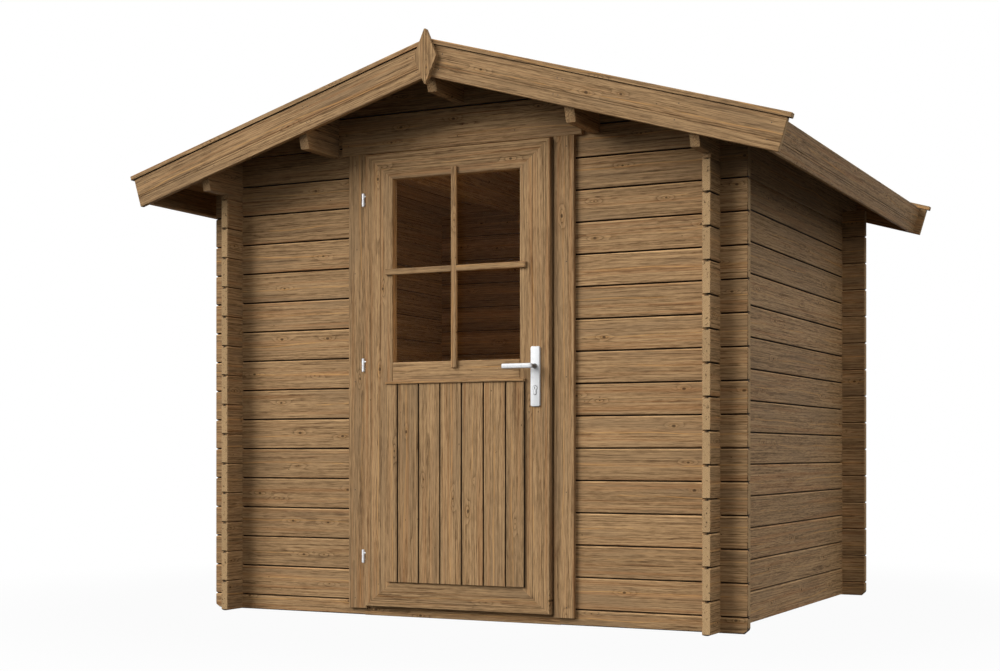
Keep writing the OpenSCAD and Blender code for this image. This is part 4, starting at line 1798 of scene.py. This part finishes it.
def arc(x: float, z: float, radius: float, start: float, end: float, steps: int) -> Outline:
    """Points on an arc about (x, z), between two angles in degrees."""
    angles = [math.radians(start + (end - start) * k / steps) for k in range(steps + 1)]
    return [(x + radius * math.cos(a), z + radius * math.sin(a)) for a in angles]


def rounded(
    width: float, height: float, radius: float, sharpest: float = 0.0002, steps: int = 6
) -> Callable[[float], Outline]:
    """Gives the outline of a rectangle with round corners about the origin.

    Args:
        width: Its width.
        height: Its height.
        radius: Radius of its corners.
        sharpest: Least radius that an inset leaves them.
        steps: Sides in each corner.

    Returns:
        A function that gives the outline for an inset.
    """

    def outline(inset: float) -> Outline:
        """Draws the outline in.

        Args:
            inset: How far.

        Returns:
            The outline.
        """
        turn = max(radius - inset, sharpest)
        x = width / 2 - inset - turn
        z = height / 2 - inset - turn
        corners = ((x, z, 0), (-x, z, 90), (-x, -z, 180), (x, -z, 270))
        return [p for cx, cz, a in corners for p in arc(cx, cz, turn, a, a + 90, steps)]

    return outline


HINGE_METAL = Metal("hinge_zinc", tint(226, 227, 229), roughness=0.34, metallic=0.25)
HANDLE_METAL = Metal("handle_alloy", tint(206, 207, 208), roughness=0.40, metallic=0.2)
# A darker metal for the lever necks: painted shade on the handle's neck.
SHADED_NECK_METAL = Metal("neck_alloy_painted_shade", tint(112, 109, 104), roughness=0.38, metallic=0.7)
KEYHOLE_METAL = Metal("keyhole_shadow", tint(20, 19, 18), roughness=0.6, metallic=0.2)
NAIL_METAL = Metal("nail_steel", tint(70, 58, 48), roughness=0.55, metallic=0.5)


@dataclass
class Hinges:
    """Three lift-off hinges, each a barrel in two halves with a screwed arm on either side."""

    layout: Layout
    heights: tuple[float, ...] = (0.235, 0.990, 1.643)
    slack: float = 0.0006
    core: float = 0.4
    lip: float = 0.6
    flange: float = 0.78
    shoulder: float = 0.8
    crown: float = 0.3
    mouth: float = 0.9
    washer_t: float = 0.0011
    washer_edge: float = 0.0001
    arm_r: float = 0.003
    arm_steps: int = 16
    collar: tuple[Pair, ...] = ((0.0, 0.0034), (0.0004, 0.0042), (0.0014, 0.0042), (0.0018, 0.0030))

    def build(self) -> None:
        """Makes the halves on the frame and the halves on the leaf."""
        low, high = span("hinge_frame_halves")
        radius = (high.x - low.x) / 2
        x = (low.x + high.x) / 2
        y = low.y + radius
        half = self.heights[0] - low.z
        leaf_x = span("hinge_leaf_halves")[1].x
        slack, edge, steps = self.slack, self.washer_edge, self.arm_steps
        core, lip, wide = radius * self.core, radius * self.lip, radius * self.flange
        body = [(0.0, core), (slack, radius * self.shoulder), (radius * self.crown, radius)]
        body += [(half - 2 * slack, radius), (half - slack, radius * self.mouth), (half - slack, core)]
        washer = [(0.0, lip), (edge, wide), (self.washer_t - edge, wide), (self.washer_t, lip)]
        back_arm = [(0.0, self.arm_r), (high.y - y, self.arm_r)]
        side_arm = [(0.0, self.arm_r), (leaf_x - x, self.arm_r)]
        seat = self.collar[-1][0]
        fixed, moving = Casting(), Casting()
        for z in self.heights:
            lower, upper = z - half / 2, z + half / 2
            fixed.turned(body, Vector((x, y, z - half)), UP)
            moving.turned(body, Vector((x, y, z + half)), -UP)
            fixed.turned(washer, Vector((x, y, z - self.washer_t / 2)), UP)
            fixed.turned(back_arm, Vector((x, y, lower)), BACK, steps)
            fixed.turned(self.collar, Vector((x, high.y - seat, lower)), BACK, steps)
            moving.turned(side_arm, Vector((x, y, upper)), RIGHT, steps)
            moving.turned(self.collar, Vector((leaf_x - seat, y, upper)), RIGHT, steps)
        fixed.show("hinge_frame_barrels", "shed", ["hinge_frame_halves"], "hinge_metal", HINGE_METAL)
        moving.show("hinge_leaf_barrels", "door", ["hinge_leaf_halves"], "hinge_metal", HINGE_METAL)


@dataclass
class Lock:
    """Handle plates, lever handles and the lock cylinder."""

    layout: Layout
    corner: float = 0.007
    edge: float = 0.0022
    rounding: tuple[Pair, ...] = ((1.0, 0.0), (0.45, 0.22), (0.12, 0.55), (0.0, 1.0))
    screw_in: float = 0.016
    screw_steps: int = 20
    screw: tuple[Pair, ...] = ((0.0, 0.0036), (0.0006, 0.0036), (0.0014, 0.0026), (0.0016, 0.0010))
    foot_r: float = 0.005
    barrel_ease: float = 0.0008
    key_slot: tuple[float, float, float] = (0.0024, 0.0100, 0.0011)
    rim: float = 0.0016
    sunk: float = 0.0004
    key_proud: float = 0.00015
    rim_proud: float = 0.0002
    grip_h: float = 0.019
    grip_t: float = 0.012
    grip_drop: float = 0.010
    grip_steps: int = 10
    grip_round: float = 0.42
    grip_start: float = 0.44
    grip_tip: float = 0.30
    grip_least: float = 0.02
    round_steps: int = 24
    foot_steps: int = 8
    neck: tuple[Pair, ...] = ((0.0004, 0.0096), (0.0024, 0.0096), (0.0032, 0.0084), (0.0048, 0.0078))
    spindle: float = 0.004

    def plates(self) -> None:
        """Makes the plate on each side of the leaf."""
        for node, facing in (("outer_plate", -1), ("inner_plate", 1)):
            low, high = span(node)
            middle = (low + high) / 2
            thick = high.y - low.y
            base = high.y if facing < 0 else low.y
            along = RIGHT if facing < 0 else -RIGHT
            place = axes(Vector((middle.x, base, middle.z)), along, UP)
            outline = rounded(high.x - low.x, high.z - low.z, self.corner)
            edge = self.edge
            levels = [(0.0, 0.0)] + [(thick - edge * down, edge * inset) for down, inset in self.rounding]
            plate = Casting()
            plate.pressed(outline, levels, place)
            if facing > 0:
                for z in (low.z + self.screw_in, high.z - self.screw_in):
                    plate.turned(self.screw, Vector((middle.x, high.y, z)), BACK, self.screw_steps)
            plate.show(f"{node}_cover", "door", [node], "handle_metal", HANDLE_METAL)

    def cylinder(self) -> None:
        """Makes the profile cylinder, with a dark slab as the painted shadow of the keyhole in each face
        and a painted-shadow ring round it on each plate.
        """
        low, high = span("lock_cylinder")
        radius = (high.x - low.x) / 2
        x = (low.x + high.x) / 2
        z = high.z - radius
        drop = z - low.z - self.foot_r

        def outline(inset: float) -> Outline:
            """Gives the cylinder's outline: round above, with a narrow foot that has a round end.

            Args:
                inset: How far it is drawn in.

            Returns:
                The outline.
            """
            r = radius - inset
            s = self.foot_r - inset
            lean = math.degrees(math.asin(s / r))
            upper = arc(0.0, 0.0, r, lean - 90, 270 - lean, self.round_steps)
            return upper + arc(0.0, -drop, s, 180, 360, self.foot_steps)

        barrel = Casting()
        deep = high.y - low.y
        ease = self.barrel_ease
        levels = [(0.0, ease), (ease, 0.0), (deep - ease, 0.0), (deep, ease)]
        barrel.pressed(outline, levels, axes(Vector((x, high.y, z)), RIGHT, UP))
        barrel.show("lock_barrel", "door", ["lock_cylinder"], "handle_metal", HANDLE_METAL)
        # Dark slabs as painted shadow: one in the keyhole of each face, and a ring round the cylinder on
        # each plate.
        keyhole = Casting()
        for y, along in ((low.y, RIGHT), (high.y, -RIGHT)):
            mouth = axes(Vector((x, y, z)), along, UP)
            keyhole.pressed(rounded(*self.key_slot), [(-self.sunk, 0.0), (self.key_proud, 0.0)], mouth)
        for y, along in ((span("outer_plate")[0].y, RIGHT), (span("inner_plate")[1].y, -RIGHT)):
            place = axes(Vector((x, y, z)), along, UP)
            keyhole.pressed(outline, [(-self.sunk, -self.rim), (self.rim_proud, -self.rim)], place)
        keyhole.show("lock_keyway_shadows", "door", [], "handle_metal", KEYHOLE_METAL)

    def grip(self, piece: Casting, pivot: Vector, reach: float) -> None:
        """Adds the flat grip of one handle, with soft edges.

        Args:
            piece: Where it goes.
            pivot: Middle of the grip where it crosses the lever's axis.
            reach: Length of the grip from the axis.
        """
        height, thick = self.grip_h, self.grip_t
        outline = rounded(thick, height, min(thick, height) * self.grip_round)
        rings = []
        start = height * self.grip_start
        length = reach + start
        for k in range(2 * self.grip_steps + 1):
            share = k / (2 * self.grip_steps)
            at = (1 - math.cos(math.pi * share)) / 2 * length
            near = min(at, length - at) / (height * self.grip_tip)
            size = math.sqrt(max(1 - (1 - min(near, 1.0)) ** 2, self.grip_least))
            rings.append([
                pivot + Vector((start - at, y * size, z * (0.5 + 0.5 * size))) for y, z in outline(0.0)
            ])
        piece.rings(rings)

    def lever(self) -> None:
        """Makes both handles, which turn together."""
        low, high = span("lever")
        outer = span("outer_plate")
        inner = span("inner_plate")
        middle_x = (outer[0].x + outer[1].x) / 2
        z = high.z - self.grip_drop
        reach = middle_x - low.x
        piece, necks = Casting(), Casting()
        for tip, plate, sign in ((low.y, outer[0].y, -1), (high.y, inner[1].y, 1)):
            self.grip(piece, Vector((middle_x, tip - sign * self.grip_t / 2, z)), reach)
            run = abs(tip - plate) - self.grip_t / 2
            neck = [*self.neck, (run, self.neck[-1][1])]
            necks.turned(neck, Vector((middle_x, plate, z)), BACK * sign)
        half = self.spindle
        square = [(-half, -half), (half, -half), (half, half), (-half, half)]
        ends = (outer[0].y, inner[1].y)
        piece.rings([[Vector((middle_x + a, y, z + b)) for a, b in square] for y in ends])
        piece.show("lever_handles", "lever", ["lever"], "handle_metal", HANDLE_METAL)
        # The necks take the darker metal as painted shade.
        necks.show("lever_necks", "lever", [], "handle_metal", SHADED_NECK_METAL)

    def build(self) -> None:
        """Makes the whole lock."""
        self.plates()
        self.cylinder()
        self.lever()


@dataclass
class Nails:
    """Small nail heads in the trim, in pairs where a board crosses what holds it."""

    layout: Layout
    radius: float = 0.0021
    spacing: float = 0.42
    steps: int = 12
    let_in: float = 0.0006
    proud: Pair = (0.0001, 0.0003)
    from_ridge: float = 0.07
    from_purlin: float = 0.01
    from_end: float = 0.05
    drops: Pair = (0.028, 0.086)
    from_edge: float = 0.03
    from_foot: float = 0.04
    head_shares: tuple[float, ...] = (1.0, 0.5, 0.0, -0.5, -1.0)

    def head(self, piece: Casting, spot: Vector, facing: Vector) -> None:
        """Adds one head, let in so that it stands hardly proud.

        Args:
            piece: Where it goes.
            spot: Its middle, on the board's face.
            facing: Direction that it looks in.
        """
        shoulder, crown = self.proud
        profile = [(-self.let_in, self.radius), (shoulder, self.radius), (crown, self.radius * 0.6)]
        piece.turned(profile, spot, facing, self.steps)

    def verges(self, piece: Casting) -> None:
        """Adds the heads in the barge boards, at every purlin and at the ends.

        Args:
            piece: Where they go.
        """
        layout = self.layout
        edge = layout.half_w - layout.log_t / 2
        purlin = (layout.purlin_x - self.from_purlin, layout.purlin_x + self.from_purlin)
        for at in (self.from_ridge, *purlin, edge, layout.slope_l - self.from_end):
            for drop in self.drops:
                spot = layout.top + layout.down * at + layout.out * (layout.roof_t - drop)
                for side in (-1, 1):
                    for front in (-1, 1):
                        place = Vector((side * spot.x, front * layout.barge_face, spot.z))
                        self.head(piece, place, BACK * front)

    def casings(self, piece: Casting) -> None:
        """Adds the heads in the casings round the door.

        Args:
            piece: Where they go.
        """
        low, high = span("side_casings")
        top = span("head_casing")
        count = round((high.z - low.z) / self.spacing)
        for side in (-1, 1):
            x = side * (high.x - self.from_edge)
            for k in range(count + 1):
                z = low.z + self.from_foot + k * (high.z - low.z - 2 * self.from_foot) / count
                self.head(piece, Vector((x, low.y, z)), -BACK)
        for share in self.head_shares:
            x = (top[0].x + self.from_edge) * share
            self.head(piece, Vector((x, top[0].y, (top[0].z + top[1].z) / 2)), -BACK)

    def build(self) -> None:
        """Makes every head on the fixed trim."""
        piece = Casting()
        self.verges(piece)
        self.casings(piece)
        piece.show("trim_nails", "shed", [], "hinge_metal", NAIL_METAL)


# ------------------------------------------------------------------ studio


@dataclass(frozen=True)
class Sun:
    """Light from one side.

    Attributes:
        name: The lamp's name.
        towards: Direction from the shed to the light.
        power: Its strength in watts for each square metre.
        spread: Angle in degrees that it covers in the sky.
    """

    name: str
    towards: tuple[float, float, float]
    power: float
    spread: float

    def build(self) -> None:
        """Adds the lamp."""
        data = bpy.data.lights.new(self.name, "SUN")
        data.energy = self.power
        data.angle = math.radians(self.spread)
        lamp = bpy.data.objects.new(self.name, data)
        lamp.rotation_euler = Vector(self.towards).to_track_quat("Z", "Y").to_euler()
        bpy.context.scene.collection.objects.link(lamp)


@dataclass
class Studio:
    """Camera, lamps, world and the pale floor."""

    camera_at: Vector = field(default_factory=lambda: Vector((2.866, -6.304, 0.643)))
    turn: float = 26.4
    lens: float = 57.24
    sensor: float = 36.0
    shift: float = 0.1175
    ambient: float = 0.44
    suns: tuple[Sun, ...] = (
        Sun("key", (-0.61, -0.63, 0.44), 3.40, 42.0),
        Sun("fill", (0.80, -0.38, 0.40), 0.80, 70.0),
        Sun("rear", (-0.12, 0.85, 0.32), 1.60, 70.0),
    )
    glow_power: float = 7.0
    glow_size: float = 0.36
    glow_colour: Colour = (1.0, 0.72, 0.42)
    glow_at: tuple[float, float, float] = (0.80, -0.25, 0.90)
    glow_from: tuple[float, float, float] = (1.0, 0.38, -0.12)
    floor_tint: Colour = tint(70, 69, 67)
    floor_size: float = 60.0
    floor_drop: float = 0.0005
    floor_white: float = 0.962
    shadow_reach: Pair = (1.6, 3.4)

    def camera(self) -> None:
        """Adds the camera, level and turned towards the middle of the front."""
        data = bpy.data.cameras.new("camera")
        data.lens = self.lens
        data.sensor_width = self.sensor
        data.shift_y = self.shift
        camera = bpy.data.objects.new("camera", data)
        camera.location = self.camera_at
        camera.rotation_euler = (math.radians(90.0), 0.0, math.radians(self.turn))
        bpy.context.scene.collection.objects.link(camera)
        bpy.context.scene.camera = camera

    def glow(self) -> None:
        """Adds the warm light that the timber throws about inside the shed."""
        data = bpy.data.lights.new("inside", "AREA")
        data.size = self.glow_size
        data.energy = self.glow_power
        data.color = self.glow_colour
        lamp = bpy.data.objects.new("inside", data)
        lamp.location = self.glow_at
        lamp.rotation_euler = Vector(self.glow_from).to_track_quat("Z", "Y").to_euler()
        lamp.visible_camera = False
        lamp.visible_glossy = False
        bpy.context.scene.collection.objects.link(lamp)

    def world(self) -> None:
        """Fills the surroundings with soft light and shows them white."""
        world = bpy.data.worlds.new("surroundings")
        bpy.context.scene.world = world
        graph = Graph(world)
        soft = graph.add("ShaderNodeBackground", inputs={"Color": WHITE, "Strength": self.ambient})
        white = graph.add("ShaderNodeBackground", inputs={"Color": WHITE, "Strength": 1.0})
        mixed = graph.add("ShaderNodeMixShader", inputs={0: self.seen(graph), 1: soft, 2: white})
        graph.add("ShaderNodeOutputWorld", inputs={"Surface": mixed})

    def seen(self, graph: Graph) -> Field:
        """Tells apart the rays that show a surface from those that light it.

        Args:
            graph: The graph that it is for.

        Returns:
            One for rays from the camera, from gloss and through glass, else zero.
        """
        kinds = ("Is Camera Ray", "Is Glossy Ray", "Is Transmission Ray")
        camera, glossy, through = (graph.add("ShaderNodeLightPath", output=kind) for kind in kinds)
        return 1.0 - (1.0 - camera) * (1.0 - glossy) * (1.0 - through)

    def floor(self) -> None:
        """Lays a wide floor that looks white but keeps a faint shadow around the shed."""
        size = self.floor_size
        corners = [(-size, -size, 0), (size, -size, 0), (size, size, 0), (-size, size, 0)]
        mesh = bpy.data.meshes.new("floor")
        mesh.from_pydata(corners, [], [(0, 1, 2, 3)])
        material = bpy.data.materials.new("pale_floor")
        graph = Graph(material)
        x, y, _ = graph.parts(graph.add("ShaderNodeNewGeometry", output="Position"))
        away = ((x * x + y * y) ** 0.5).between(*self.shadow_reach)
        matt = graph.add("ShaderNodeBsdfDiffuse", inputs={"Color": self.floor_tint})
        white = graph.add("ShaderNodeEmission", inputs={"Color": WHITE, "Strength": 1.0})
        share = self.seen(graph) * (self.floor_white + away * (1.0 - self.floor_white))
        graph.finish(graph.add("ShaderNodeMixShader", inputs={0: share, 1: matt, 2: white}))
        mesh.materials.append(material)
        ground = bpy.data.objects.new("floor", mesh)
        ground.location.z = -self.floor_drop
        bpy.context.scene.collection.objects.link(ground)

    def build(self) -> None:
        """Sets the stage."""
        bpy.context.scene.view_settings.view_transform = "Standard"
        self.camera()
        self.world()
        self.floor()
        for sun in self.suns:
            sun.build()
        self.glow()


def main() -> None:
    """Builds every sub-assembly in order."""
    logging.basicConfig(level=logging.INFO, format="%(message)s")
    Studio().build()
    layout = Layout.read()
    for assembly in (LogWalls, Roof, Floor, Doorway, DoorLeaf, Hinges, Lock, Nails):
        assembly(layout).build()


if __name__ == "__main__":
    main()
